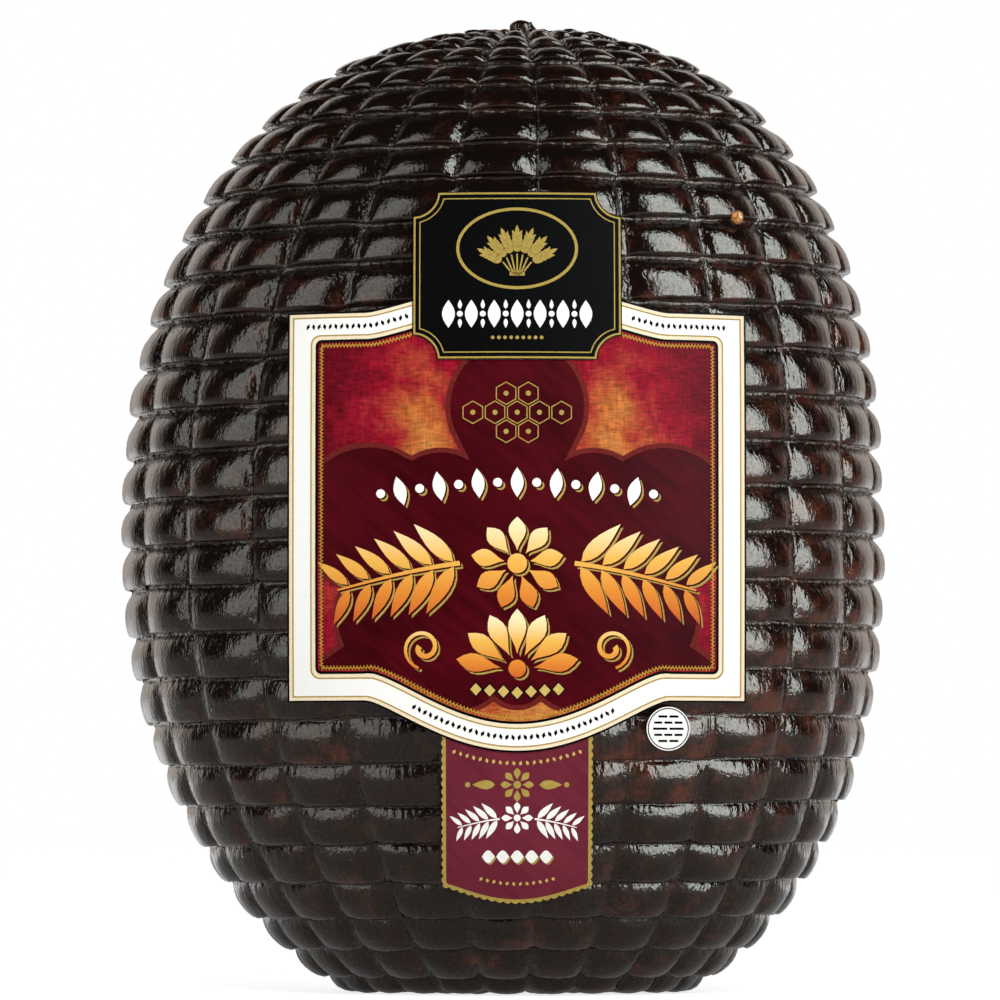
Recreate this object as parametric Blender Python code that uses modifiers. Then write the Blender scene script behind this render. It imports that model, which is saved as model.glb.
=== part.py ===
"""Glazed ham, netted while it was cooked, standing on its flat end with its labels on.

Metres, +Z up. The origin is the centre of the flat base, and the labelled front faces -Y.
Everything follows one crest outline: the smooth form that touches the tops of the pillows
which the net's cords have pressed into the ham.
"""
import math

import bmesh
import bpy
import numpy as np

# ---- the crest outline, a superellipse above and one below the widest height
CREST_RADIUS = 0.1050
WIDEST_HEIGHT = 0.1220
UPPER_RISE = 0.1414       # from the widest height to the top
LOWER_DROP = 0.1343       # to where the lower end would close if it weren't flattened
UPPER_FULLNESS = 2.37     # powers of the superellipses: 2 is an ellipse, more is squarer
LOWER_FULLNESS = 2.16
OUTLINE_STEPS = 400       # for each half of the outline
DEPTH_RATIO = 0.97        # front to back, against side to side
BELLY = 0.004             # how far the middle bulges towards -X
BELLY_POWER = 1.5
LEAN = 0.0012             # how far the top leans towards +X
LEAN_POWER = 6

# ---- the net's grid of pillows
COLUMNS = 24
ROWS = 28
FIRST_RING = 0.0046       # the top ring cord, by its distance down the outline
COLUMN_TURN = math.radians(4)
RING_TILT = 0.0015        # the rings ride this much lower at -X and higher at +X
RING_GROOVE = 0.0036      # groove depths
COLUMN_GROOVE = 0.0024
NARROW_GROOVE = 0.22      # a column's groove is never deeper than this share of its width
POINTS_PER_COLUMN = 3     # one in the groove and two on the pillow

# ---- the gathered knob on top: distance from the middle, and height above the outline
KNOB_TOP = 0.0025
KNOB_RINGS = ((0.0018, 0.0020), (0.0030, 0.0))

# ---- the labels, by their outlines as seen from the front
FILM = 0.00035            # thickness of the printed film
LAYER_GAP = 0.0004        # air between two layers
FIRST_LIFT = 0.0005       # from the crests to the lowest layer

MAIN_HALF_WIDTH = 0.0604
MAIN_TOP = 0.1806
MAIN_BOTTOM = 0.0779
MAIN_RISE = 0.0070        # the top edge's rise in the middle
MAIN_DROP = 0.0132        # the bottom edge's drop in the middle
OGEE_HALF_WIDTH = 0.0395  # both edges curve within this distance of the middle
OGEE_POWER = 1.35

PLAQUE_HALF_WIDTH = 0.0275
PLAQUE_TOP = 0.2124
PLAQUE_BOTTOM = 0.1674
PLAQUE_SCOOP = 0.0065     # radius of the scooped corners

TAIL_HALF_WIDTH = 0.0199
TAIL_TOP = 0.0720         # hidden under the main label
TAIL_BOTTOM = 0.0293      # at the corners
TAIL_DROP = 0.0044        # the bottom edge's drop in the middle

SEAL_RADIUS = 0.00575
SEAL_X = 0.0397
SEAL_HEIGHT = 0.0710


def crest_outline():
    """Radius and height along the crest outline, with the distance down from the top."""
    upper = np.linspace(0, math.pi / 2, OUTLINE_STEPS)
    power = 2 / UPPER_FULLNESS
    upper_radius = CREST_RADIUS * np.sin(upper) ** power
    upper_height = WIDEST_HEIGHT + UPPER_RISE * np.abs(np.cos(upper)) ** power
    base_turn = math.asin((WIDEST_HEIGHT / LOWER_DROP) ** (LOWER_FULLNESS / 2))
    lower = np.linspace(0, base_turn, OUTLINE_STEPS)[1:]
    power = 2 / LOWER_FULLNESS
    lower_radius = CREST_RADIUS * np.cos(lower) ** power
    lower_height = WIDEST_HEIGHT - LOWER_DROP * np.sin(lower) ** power
    radius = np.concatenate([upper_radius, lower_radius])
    height = np.concatenate([upper_height, lower_height])
    steps = np.hypot(np.diff(radius), np.diff(height))
    return radius, height, np.concatenate([[0.0], np.cumsum(steps)])


RADIUS, HEIGHT, DISTANCE = crest_outline()
TOP = float(HEIGHT[0])
BASE_EDGE = float(DISTANCE[-1])
ROW_PITCH = (BASE_EDGE - FIRST_RING) / (ROWS - 0.5)   # the last crest is the base's rim


def outline_at(distance):
    """Radius, height and outward normal of the outline at a distance down from the top."""
    step = 0.0005
    before, after = max(distance - step, 0.0), min(distance + step, BASE_EDGE)
    run = np.interp(after, DISTANCE, RADIUS) - np.interp(before, DISTANCE, RADIUS)
    fall = np.interp(before, DISTANCE, HEIGHT) - np.interp(after, DISTANCE, HEIGHT)
    length = math.hypot(run, fall)
    radius = np.interp(distance, DISTANCE, RADIUS)
    height = np.interp(distance, DISTANCE, HEIGHT)
    return radius, height, fall / length, run / length


def belly(height):
    """How far the axis is bent to the side at this height."""
    share = min(max(height / TOP, 0.0), 1.0)
    return LEAN * share ** LEAN_POWER - BELLY * math.sin(math.pi * share) ** BELLY_POWER


def skin_point(angle, distance, inset):
    """A point of the ham, by its angle from +X and its distance down, sunk by inset."""
    fade = math.sin(math.pi * min(distance / BASE_EDGE, 1.0))
    distance = distance - RING_TILT * math.cos(angle) * fade
    radius, height, out, up = outline_at(distance)
    radius -= inset * out
    height -= inset * up
    across = radius * math.cos(angle) + belly(height)
    return across, DEPTH_RATIO * radius * math.sin(angle), height


def ring_plan():
    """Each ring of points as its distance down, its inset and whether columns groove it."""
    plan = [(distance, -lift, False) for distance, lift in KNOB_RINGS]
    for row in range(ROWS):
        groove = FIRST_RING + row * ROW_PITCH
        plan.append((groove, RING_GROOVE, True))
        plan.append((groove + ROW_PITCH / 2, 0.0, row < ROWS - 1))
    return plan


def column_inset(distance):
    """Depth of a column's groove, shallower where the columns close up towards the top."""
    width = 2 * math.pi * outline_at(distance)[0] / COLUMNS
    return min(COLUMN_GROOVE, NARROW_GROOVE * width)


def principled(name, color, roughness, metallic=0.0):
    """A plain Principled material."""
    material = bpy.data.materials.new(name)
    material.use_nodes = True
    shader = material.node_tree.nodes["Principled BSDF"]
    shader.inputs["Base Color"].default_value = (*color, 1.0)
    shader.inputs["Roughness"].default_value = roughness
    shader.inputs["Metallic"].default_value = metallic
    return material


def add_object(name, bm, material, collection):
    """Turn the working mesh into a named object with its material."""
    mesh = bpy.data.meshes.new(name)
    bm.to_mesh(mesh)
    bm.free()
    mesh.shade_smooth()
    mesh.set_sharp_from_angle(angle=math.radians(50))
    mesh.materials.append(material)
    item = bpy.data.objects.new(name, mesh)
    collection.objects.link(item)
    return item


def make_ham(collection):
    """A sphere whose rings follow the crest outline, sunk where the net's cords lay."""
    plan = ring_plan()
    around = COLUMNS * POINTS_PER_COLUMN
    bands = len(plan) + 1
    bm = bmesh.new()
    bmesh.ops.create_uvsphere(bm, u_segments=around, v_segments=bands, radius=1.0)
    for vert in bm.verts:
        polar = math.acos(max(-1.0, min(1.0, vert.co.z)))
        ring = round(polar / math.pi * bands)
        if ring == 0:
            vert.co = (belly(TOP), 0.0, TOP + KNOB_TOP)
            continue
        if ring == bands:
            vert.co = (0.0, 0.0, 0.0)
            continue
        step = round(math.atan2(vert.co.y, vert.co.x) / (2 * math.pi) * around)
        angle = step * 2 * math.pi / around + COLUMN_TURN
        distance, inset, grooved = plan[ring - 1]
        if grooved and step % POINTS_PER_COLUMN == 0:
            inset = math.hypot(inset, column_inset(distance))
        vert.co = skin_point(angle, distance, inset)
    # The long diagonal runs from a pillow's corner to its crown, so each pillow is domed.
    bmesh.ops.triangulate(bm, faces=bm.faces, quad_method="LONG_EDGE")
    glaze = principled("dark_glaze", (0.020, 0.008, 0.005), 0.15)
    add_object("ham", bm, glaze, collection)


def front_point(across, height, lift):
    """The point of the front that is seen at this place, raised off the crests by lift."""
    rising = HEIGHT[::-1]
    radius = np.interp(height, rising, RADIUS[::-1]) + lift
    aside = across - belly(height)
    return across, -DEPTH_RATIO * math.sqrt(radius ** 2 - aside ** 2), height


def ogee(across, half_width):
    """A bracket curve: 1 in the middle, easing to 0 at half_width and beyond."""
    share = min(abs(across) / half_width, 1.0)
    return (1 - share ** 2) ** OGEE_POWER


def main_edges(across):
    """Lower and upper edge of the main label."""
    curve = ogee(across, OGEE_HALF_WIDTH)
    return MAIN_BOTTOM - MAIN_DROP * curve, MAIN_TOP + MAIN_RISE * curve


def plaque_edges(across):
    """Lower and upper edge of the plaque, a rectangle with scooped corners."""
    past = min(PLAQUE_HALF_WIDTH - abs(across), PLAQUE_SCOOP)
    scoop = math.sqrt(max(PLAQUE_SCOOP ** 2 - past ** 2, 0.0))
    return PLAQUE_BOTTOM + scoop, PLAQUE_TOP - scoop


def tail_edges(across):
    """Lower and upper edge of the tail label."""
    return TAIL_BOTTOM - TAIL_DROP * ogee(across, TAIL_HALF_WIDTH), TAIL_TOP


def film_on_front(name, bm, layer, material, collection):
    """Lay a flat outline (x across, y as height) on the front and give it its thickness."""
    lift = FIRST_LIFT + layer * (FILM + LAYER_GAP)
    for vert in bm.verts:
        vert.co = front_point(vert.co.x, vert.co.y, lift)
    label = add_object(name, bm, material, collection)
    wall = label.modifiers.new("film", "SOLIDIFY")
    wall.thickness = FILM
    wall.offset = 1.0
    wall.use_even_offset = True
    return label


def make_banded_label(name, half_width, edges, cells, layer, material, collection):
    """A label between a lower and an upper edge, from a grid of cells."""
    bm = bmesh.new()
    bmesh.ops.create_grid(bm, x_segments=cells[0], y_segments=cells[1], size=1.0)
    for vert in bm.verts:
        share = vert.co.x
        if edges is plaque_edges:
            share = math.sin(share * math.pi / 2)   # finer at the scooped corners
        across = half_width * share
        low, high = edges(across)
        vert.co = (across, low + (high - low) * (vert.co.y + 1) / 2, 0.0)
    return film_on_front(name, bm, layer, material, collection)


def make_round_label(name, material, collection):
    """The small round seal beside the tail."""
    bm = bmesh.new()
    bmesh.ops.create_circle(bm, cap_ends=True, cap_tris=True, segments=24, radius=SEAL_RADIUS)
    bmesh.ops.translate(bm, verts=bm.verts, vec=(SEAL_X, SEAL_HEIGHT, 0.0))
    return film_on_front(name, bm, 0, material, collection)


def build():
    for item in list(bpy.data.objects):
        bpy.data.objects.remove(item, do_unlink=True)
    collection = bpy.data.collections.new("glazed_ham")
    bpy.context.scene.collection.children.link(collection)
    make_ham(collection)
    make_banded_label("tail_label", TAIL_HALF_WIDTH, tail_edges, (8, 5), 0,
                      principled("tail_film", (0.16, 0.02, 0.03), 0.4), collection)
    make_round_label("round_seal", principled("seal_film", (0.85, 0.84, 0.80), 0.4), collection)
    make_banded_label("main_label", MAIN_HALF_WIDTH, main_edges, (16, 10), 1,
                      principled("main_film", (0.80, 0.66, 0.48), 0.4), collection)
    make_banded_label("plaque_label", PLAQUE_HALF_WIDTH, plaque_edges, (18, 3), 2,
                      principled("plaque_film", (0.01, 0.01, 0.01), 0.35), collection)


build()
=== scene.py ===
"""Looks of the glazed ham: its quilted skin, the marks the net left on it, and its labels."""
import math

import bmesh
import bpy
import numpy as np
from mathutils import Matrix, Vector, noise
from mathutils.geometry import tessellate_polygon


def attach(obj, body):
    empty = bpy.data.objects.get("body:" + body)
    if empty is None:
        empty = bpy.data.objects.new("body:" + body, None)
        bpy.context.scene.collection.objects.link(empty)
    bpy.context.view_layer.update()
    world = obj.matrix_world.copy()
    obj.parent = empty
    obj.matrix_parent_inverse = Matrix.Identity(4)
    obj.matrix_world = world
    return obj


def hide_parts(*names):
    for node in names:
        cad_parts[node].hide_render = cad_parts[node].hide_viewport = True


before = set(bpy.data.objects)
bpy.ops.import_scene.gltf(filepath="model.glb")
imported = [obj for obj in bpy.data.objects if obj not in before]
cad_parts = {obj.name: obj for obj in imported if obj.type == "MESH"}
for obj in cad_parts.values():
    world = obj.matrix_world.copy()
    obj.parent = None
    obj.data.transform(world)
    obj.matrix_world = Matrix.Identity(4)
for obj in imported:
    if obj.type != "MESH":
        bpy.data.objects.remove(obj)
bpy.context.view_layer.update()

# ---- the crest outline that the CAD ham was built on
CREST_RADIUS = 0.1050
WIDEST_HEIGHT = 0.1220
UPPER_RISE = 0.1414
LOWER_DROP = 0.1343
UPPER_FULLNESS = 2.37
LOWER_FULLNESS = 2.16
DEPTH_RATIO = 0.97
BELLY = 0.004
BELLY_POWER = 1.5
LEAN = 0.0012
LEAN_POWER = 6
OUTLINE_STEPS = 400
CREST_SLACK = 0.0002          # the pillows' crowns stay this far inside the CAD's crests
TIP_RADIUS = 0.02             # nearer the middle than this the slack and the columns' straying fade

# ---- the net's grid of pillows
COLUMNS = 24
ROWS = 28
ROWS_ABOVE = 2                # room for rows counted on over the nub
ROWS_UNDER = 6                # and in under the base
FIRST_RING = 0.0046
COLUMN_TURN = math.radians(4)
RING_TILT = 0.0015
RING_WAVE = 0.0005            # how far a ring cord waves up and down on its way round
RING_STEP = 0.00045           # how far at most it lies off that wave in a cell
COLUMN_STEP = 0.0008          # how far at most a column cord lies off its line in a cell
COLUMN_DRIFT = 0.0013         # and that whole line off its even place
STEP_EASE = 0.08              # share of a cell over which the change to the next cell is eased

# Places of the mesh's points across a pillow and down it, closer beside the grooves.
ACROSS = (0.0, 0.026, 0.036, 0.046, 0.09, 0.18, 0.33, 0.51, 0.70, 0.86, 0.955)
DOWN = (0.0, 0.022, 0.06, 0.13, 0.24, 0.38, 0.53, 0.70, 0.84, 0.935, 0.965, 0.985)
DOWN_BASE = (0.0, 0.1, 0.35, 0.65, 0.9)
KNOB_STEPS = 12

# ---- a pillow, in shares of its cell
COLUMN_FEET = (0.044, 0.972)  # where it begins and ends across
RING_FEET = (0.022, 0.985)    # and down
COLUMN_FOLD = 0.036           # where the raised fold beside a column's groove runs
FOLD_REACH = (0.010, 0.022)   # half widths of the folds beside columns and on rings
LEDGE = 0.90                  # where it begins to round off, above the ring below it
LEDGE_POWER = 4
STRETCHED = (9.0, 13.0)       # rows over which the pillows come to turn under fully
GROOVE_DEPTH = 0.0040
NARROW_RADIUS = 0.018         # nearer the middle than this the columns' grooves get shallower
PRESSED_LEVEL = 0.33          # share of the slope kept where the net pulls the upper half in
BASE_PRESS = 0.5              # how much the ham's weight flattens the pillows under it
LOW_PRESS = 0.25              # and those of its lower half

# ---- the rounded base and the nub on top
BASE_ROUND = 0.004
KNOB_RADIUS = 0.0033
KNOB_MOAT = 0.8               # share of the groove depth around the nub
MOAT_RISE = 0.0008            # how far out from the nub that depth is reached
KNOB_HEIGHT = 0.0024
# Knots in the gathered skin around the nub: place, reach and height.
TIP_LUMPS = ((0.0068, -0.001, 0.0032, 0.0016), (0.0178, -0.004, 0.0062, 0.0012),
             (-0.0112, 0.002, 0.0066, 0.0008))

# ---- a bead of syrup on the skin: its place across and up, and how far its middle stands out
BEAD_PLACE = (0.0586, 0.2072)
BEAD_LIFT = -0.0014
BEAD_RADIUS = 0.0018

# ---- the labels, as CAD has them
FILM = 0.00035
LAYER_GAP = 0.0004
FIRST_LIFT = 0.00042
MAIN_HALF_WIDTH = 0.0604
MAIN_TOP = 0.1806
MAIN_BOTTOM = 0.0779
MAIN_RISE = 0.0070
MAIN_DROP = 0.0132
OGEE_HALF_WIDTH = 0.0395
OGEE_POWER = 1.35
PLAQUE_HALF_WIDTH = 0.0275
PLAQUE_TOP = 0.2124
PLAQUE_BOTTOM = 0.1674
PLAQUE_SCOOP = 0.0065
TAIL_HALF_WIDTH = 0.0199
TAIL_TOP = 0.0720
TAIL_BOTTOM = 0.0293
TAIL_DROP = 0.0044
SEAL_RADIUS = 0.00575
SEAL_X = 0.0397
SEAL_HEIGHT = 0.0710

# ---- their print
INK = 0.000012                # each printed layer stands this far above the one below
INK_LAYERS = 6
CUT = (0.0025, 0.0035)        # wide shapes are cut this fine across and up, to bend with the ham
EDGE_STEP = 0.0015            # the labels' edges and lines bend in steps of about this length
SHADOW = 0.0004               # how far the gilt shapes' shadow lines are set off
SCALLOP_PITCH = 0.0021
SCALLOP_DEPTH = 0.0005
BORDER_MIDDLE = 0.0039        # how far in from the main label's edge its border marks run,
FOIL_INSET = 0.0086           # its dark foil shape ends,
STITCH_INSET = 0.0090         # and its stitching runs
GRAIN_SCALE = 1400.0          # noise scale of the paper's grain, about 0.5 mm
MATT = 0.03                   # specular level of inks under matt varnish

# ---- the view: a long lens, just above the table
CAMERA_DISTANCE = 2.3
CAMERA_HEIGHT = 0.05
FRAME_WIDTH = 0.273           # what the frame spans at the ham's middle
FRAME_BELOW = 0.0022          # floor seen below the base's line
FRAME_SIDE = -0.0045
FLOOR_GLOW = 0.80
FLOOR_RADIUS = 9.0

rng = np.random.default_rng(11)


def color(code):
    """Linear RGBA of an sRGB hex code."""
    parts = [int(code[i:i + 2], 16) / 255 for i in (0, 2, 4)]
    return (*[c / 12.92 if c <= 0.04045 else ((c + 0.055) / 1.055) ** 2.4 for c in parts], 1.0)


def add(tree, kind, *wires, sockets=None, **settings):
    """Add a node, set its properties, and set or link its inputs, by order or by name."""
    made = tree.nodes.new(kind)
    for name, value in settings.items():
        setattr(made, name, value)
    for key, value in [*enumerate(wires), *(sockets or {}).items()]:
        if value is None:
            continue
        if isinstance(value, bpy.types.Node):
            value = value.outputs[0]
        if isinstance(value, bpy.types.NodeSocket):
            tree.links.new(value, made.inputs[key])
        else:
            made.inputs[key].default_value = value
    return made


# ---------------------------------------------------------------- the form

def crest_outline():
    """Radius, height and distance down from the top, along the crest and in over the base."""
    upper = np.linspace(0, math.pi / 2, OUTLINE_STEPS)
    power = 2 / UPPER_FULLNESS
    upper_radius = CREST_RADIUS * np.sin(upper) ** power
    upper_height = WIDEST_HEIGHT + UPPER_RISE * np.abs(np.cos(upper)) ** power
    base_turn = math.asin((WIDEST_HEIGHT / LOWER_DROP) ** (LOWER_FULLNESS / 2))
    lower = np.linspace(0, base_turn, OUTLINE_STEPS)[1:]
    power = 2 / LOWER_FULLNESS
    lower_radius = CREST_RADIUS * np.cos(lower) ** power
    lower_height = WIDEST_HEIGHT - LOWER_DROP * np.sin(lower) ** power
    inward = np.linspace(lower_radius[-1], 0.0, OUTLINE_STEPS)[1:]
    radius = np.concatenate([upper_radius, lower_radius, inward])
    height = np.concatenate([upper_height, lower_height, np.zeros(len(inward))])
    steps = np.hypot(np.diff(radius), np.diff(height))
    return radius, height, np.concatenate([[0.0], np.cumsum(steps)])


RADIUS, HEIGHT, DISTANCE = crest_outline()
TOP = float(HEIGHT[0])
BASE_EDGE = float(DISTANCE[2 * OUTLINE_STEPS - 2])
ROW_PITCH = (BASE_EDGE - FIRST_RING) / (ROWS - 0.5)


def belly(height):
    """How far the axis is bent to the side at this height."""
    share = np.clip(height / TOP, 0.0, 1.0)
    return LEAN * share ** LEAN_POWER - BELLY * np.sin(math.pi * share) ** BELLY_POWER


def outline_at(distance):
    """Radius and height of the outline, with the base's edge rounded over."""
    radius = np.interp(distance, DISTANCE, RADIUS)
    height = np.interp(distance, DISTANCE, HEIGHT)
    start, end = BASE_EDGE - BASE_ROUND, BASE_EDGE + BASE_ROUND
    turn = np.clip((distance - start) / (end - start), 0.0, 1.0)
    bend = (turn > 0) & (turn < 1)
    rounded = []
    for values in (RADIUS, HEIGHT):
        first, corner, last = np.interp((start, BASE_EDGE, end), DISTANCE, values)
        rounded.append((1 - turn) ** 2 * first + 2 * turn * (1 - turn) * corner + turn ** 2 * last)
    return np.where(bend, rounded[0], radius), np.where(bend, rounded[1], height)


def smooth_steps(table, place):
    """Read a ring of values by place: level inside each cell and eased across its edges."""
    cell = np.floor(place).astype(int)
    share = place - cell
    here = table[cell % len(table)]
    before = table[(cell - 1) % len(table)]
    after = table[(cell + 1) % len(table)]
    early = 0.5 * np.clip(1 - share / STEP_EASE, 0.0, 1.0)
    late = 0.5 * np.clip(1 - (1 - share) / STEP_EASE, 0.0, 1.0)
    return here + (before - here) * early + (after - here) * late


def wandering_lines(row, column):
    """How far the net's lines stray down and across at each point, in metres."""
    every_row = ROWS + ROWS_ABOVE + ROWS_UNDER
    rings = rng.uniform(-RING_STEP, RING_STEP, (COLUMNS, every_row))
    waves = rng.uniform(0, 2 * math.pi, every_row)
    lines = rng.uniform(-COLUMN_STEP, COLUMN_STEP, (every_row, COLUMNS))
    lines += rng.uniform(-COLUMN_DRIFT, COLUMN_DRIFT, COLUMNS)
    ring = np.floor(row).astype(int) + ROWS_ABOVE
    below = row - np.floor(row)
    down = np.zeros_like(row)
    turn = column * 2 * math.pi / COLUMNS
    for shift, weight in ((0, 1 - below), (1, below)):
        wave = RING_WAVE * np.sin(2 * turn + waves[ring + shift])
        step = [smooth_steps(rings[:, r], c) for r, c in zip(ring[:, 0] + shift, column)]
        down += weight * (np.array(step) + wave)
    line = np.floor(column).astype(int)
    beside = column - line
    across = np.zeros_like(row)
    for shift, weight in ((0, 1 - beside), (1, beside)):
        tables = lines[:, (line[0] + shift) % COLUMNS]
        step = [smooth_steps(tables[:, i], row[:, i] + ROWS_ABOVE) for i in range(row.shape[1])]
        across += weight * np.array(step).T
    return down, across


def skin_lattice():
    """The crest surface as a closed grid of points, with each point's place in the net."""
    knob = np.linspace(-FIRST_RING / ROW_PITCH, 0.0, KNOB_STEPS + 1)[1:-1]
    sides = [row + share for row in range(ROWS) for share in DOWN]
    last = int((DISTANCE[-1] - FIRST_RING) / ROW_PITCH)
    under = [row + share for row in range(ROWS, last) for share in DOWN_BASE] + [float(last)]
    rows = np.array([*knob, *sides, *under])
    columns = np.array([column + share for column in range(COLUMNS) for share in ACROSS])
    row, column = np.meshgrid(rows, columns, indexing="ij")
    down, across = wandering_lines(row, column)
    angle = COLUMN_TURN + column * 2 * math.pi / COLUMNS
    distance = FIRST_RING + row * ROW_PITCH
    fade = np.sin(math.pi * np.clip(distance / BASE_EDGE, 0.0, 1.0))
    distance = distance - RING_TILT * np.cos(angle) * fade + down * np.sqrt(fade)
    radius, height = outline_at(np.clip(distance, 0.0, DISTANCE[-1]))
    angle = angle + across * fade / np.maximum(radius, TIP_RADIUS)
    nub = np.clip(1 - (radius / KNOB_RADIUS) ** 2, 0.0, 1.0) * (height > WIDEST_HEIGHT)
    height = height + KNOB_HEIGHT * np.sqrt(nub)
    radius = radius - CREST_SLACK * np.clip(radius / TIP_RADIUS, 0, 1)
    x = radius * np.cos(angle) + belly(height)
    y = DEPTH_RATIO * radius * np.sin(angle)
    for lump_x, lump_y, reach, rise in TIP_LUMPS:
        nearness = 1 - ((x - lump_x) ** 2 + (y - lump_y) ** 2) / reach ** 2
        height = height + rise * np.sqrt(np.clip(nearness, 0.0, 1.0)) * (height > WIDEST_HEIGHT)
    points = np.stack([x, y, height], axis=-1)
    return row, column, points


def closed_grid(name, points, ends):
    """A closed mesh from rings of points and the two points that close it."""
    rings, around, _ = points.shape
    index = np.arange(rings * around).reshape(rings, around)
    beside = np.roll(index, -1, axis=1)
    quads = np.stack([index[:-1], index[1:], beside[1:], beside[:-1]], axis=-1).reshape(-1, 4)
    top, bottom = rings * around, rings * around + 1
    faces = quads.tolist()
    faces += [(top, int(a), int(b)) for a, b in zip(index[0], beside[0])]
    faces += [(bottom, int(b), int(a)) for a, b in zip(index[-1], beside[-1])]
    mesh = bpy.data.meshes.new(name)
    mesh.from_pydata(np.concatenate([points.reshape(-1, 3), ends]).tolist(), [], faces)
    mesh.shade_smooth()
    return mesh


# ---------------------------------------------------------------- geometry node trees

def new_tree(name, floats, **others):
    """A geometry node tree with one geometry in, one out, and named inputs for its sizes."""
    tree = bpy.data.node_groups.new(name, "GeometryNodeTree")
    inputs = {"Geometry": "Geometry", **dict.fromkeys(floats, "Float"), **others}
    for label, kind in inputs.items():
        tree.interface.new_socket(label, in_out="INPUT", socket_type="NodeSocket" + kind)
    tree.interface.new_socket("Geometry", in_out="OUTPUT", socket_type="NodeSocketGeometry")
    return tree


def close_tree(tree, geometry, material):
    """Ends a tree with its geometry, in its material."""
    dressed = add(tree, "GeometryNodeSetMaterial", geometry, None, material)
    add(tree, "NodeGroupOutput", dressed)
    return tree


def placed(name, data):
    """An object for a mesh, lamp or camera, in the scene."""
    made = bpy.data.objects.new(name, data)
    bpy.context.scene.collection.objects.link(made)
    return made


def grow(name, mesh, tree, values):
    """Run a tree on a mesh, with its inputs set by identifier, and keep the plain result."""
    piece = placed(name, mesh)
    work = piece.modifiers.new("grow", "NODES")
    work.node_group = tree
    for item in tree.interface.items_tree:
        if item.in_out == "INPUT" and item.name in values:
            work[item.identifier] = values[item.name]
    graph = bpy.context.evaluated_depsgraph_get()
    made = bpy.data.meshes.new_from_object(piece.evaluated_get(graph),
                                           preserve_all_data_layers=True, depsgraph=graph)
    piece.modifiers.remove(work)
    while made.materials[0] is None:
        made.materials.pop(index=0)
    piece.data = made
    made.name = name
    return piece


def pillow_arch(tree, place, feet, power):
    """Nodes for one way across a pillow: 0 beyond its feet, rising to 1 mid-way."""
    side = add(tree, "ShaderNodeMapRange", place, feet[0], feet[1], -1.0, 1.0)
    side = add(tree, "ShaderNodeMath", side, operation="ABSOLUTE")
    fall = add(tree, "ShaderNodeMath", side, power, operation="POWER")
    rise = add(tree, "ShaderNodeMath", 1.0, fall, operation="SUBTRACT")
    return add(tree, "ShaderNodeMath", rise, 0.5, operation="POWER")


def fold_ridge(tree, place, middle, reach):
    """Nodes for a narrow fold of skin: 1 along its line and 0 beyond its reach."""
    aside = add(tree, "ShaderNodeMath", place, middle, operation="SUBTRACT")
    aside = add(tree, "ShaderNodeMath", aside, operation="ABSOLUTE")
    return add(tree, "ShaderNodeMapRange", aside, 0.0, reach, 1.0, 0.0)


def laid_along(tree, along, outward, turn):
    """Nodes that lay a mark along a line and facing outward, and then turn it in its plane."""
    laid = add(tree, "FunctionNodeAlignRotationToVector", axis="X", sockets={"Vector": along})
    laid = add(tree, "FunctionNodeAlignRotationToVector", laid, axis="Z", pivot_axis="X",
               sockets={"Vector": outward})
    twist = add(tree, "FunctionNodeAxisAngleToRotation", (0.0, 0.0, 1.0), turn)
    return add(tree, "FunctionNodeRotateRotation", laid, twist, rotation_space="LOCAL")


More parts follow.
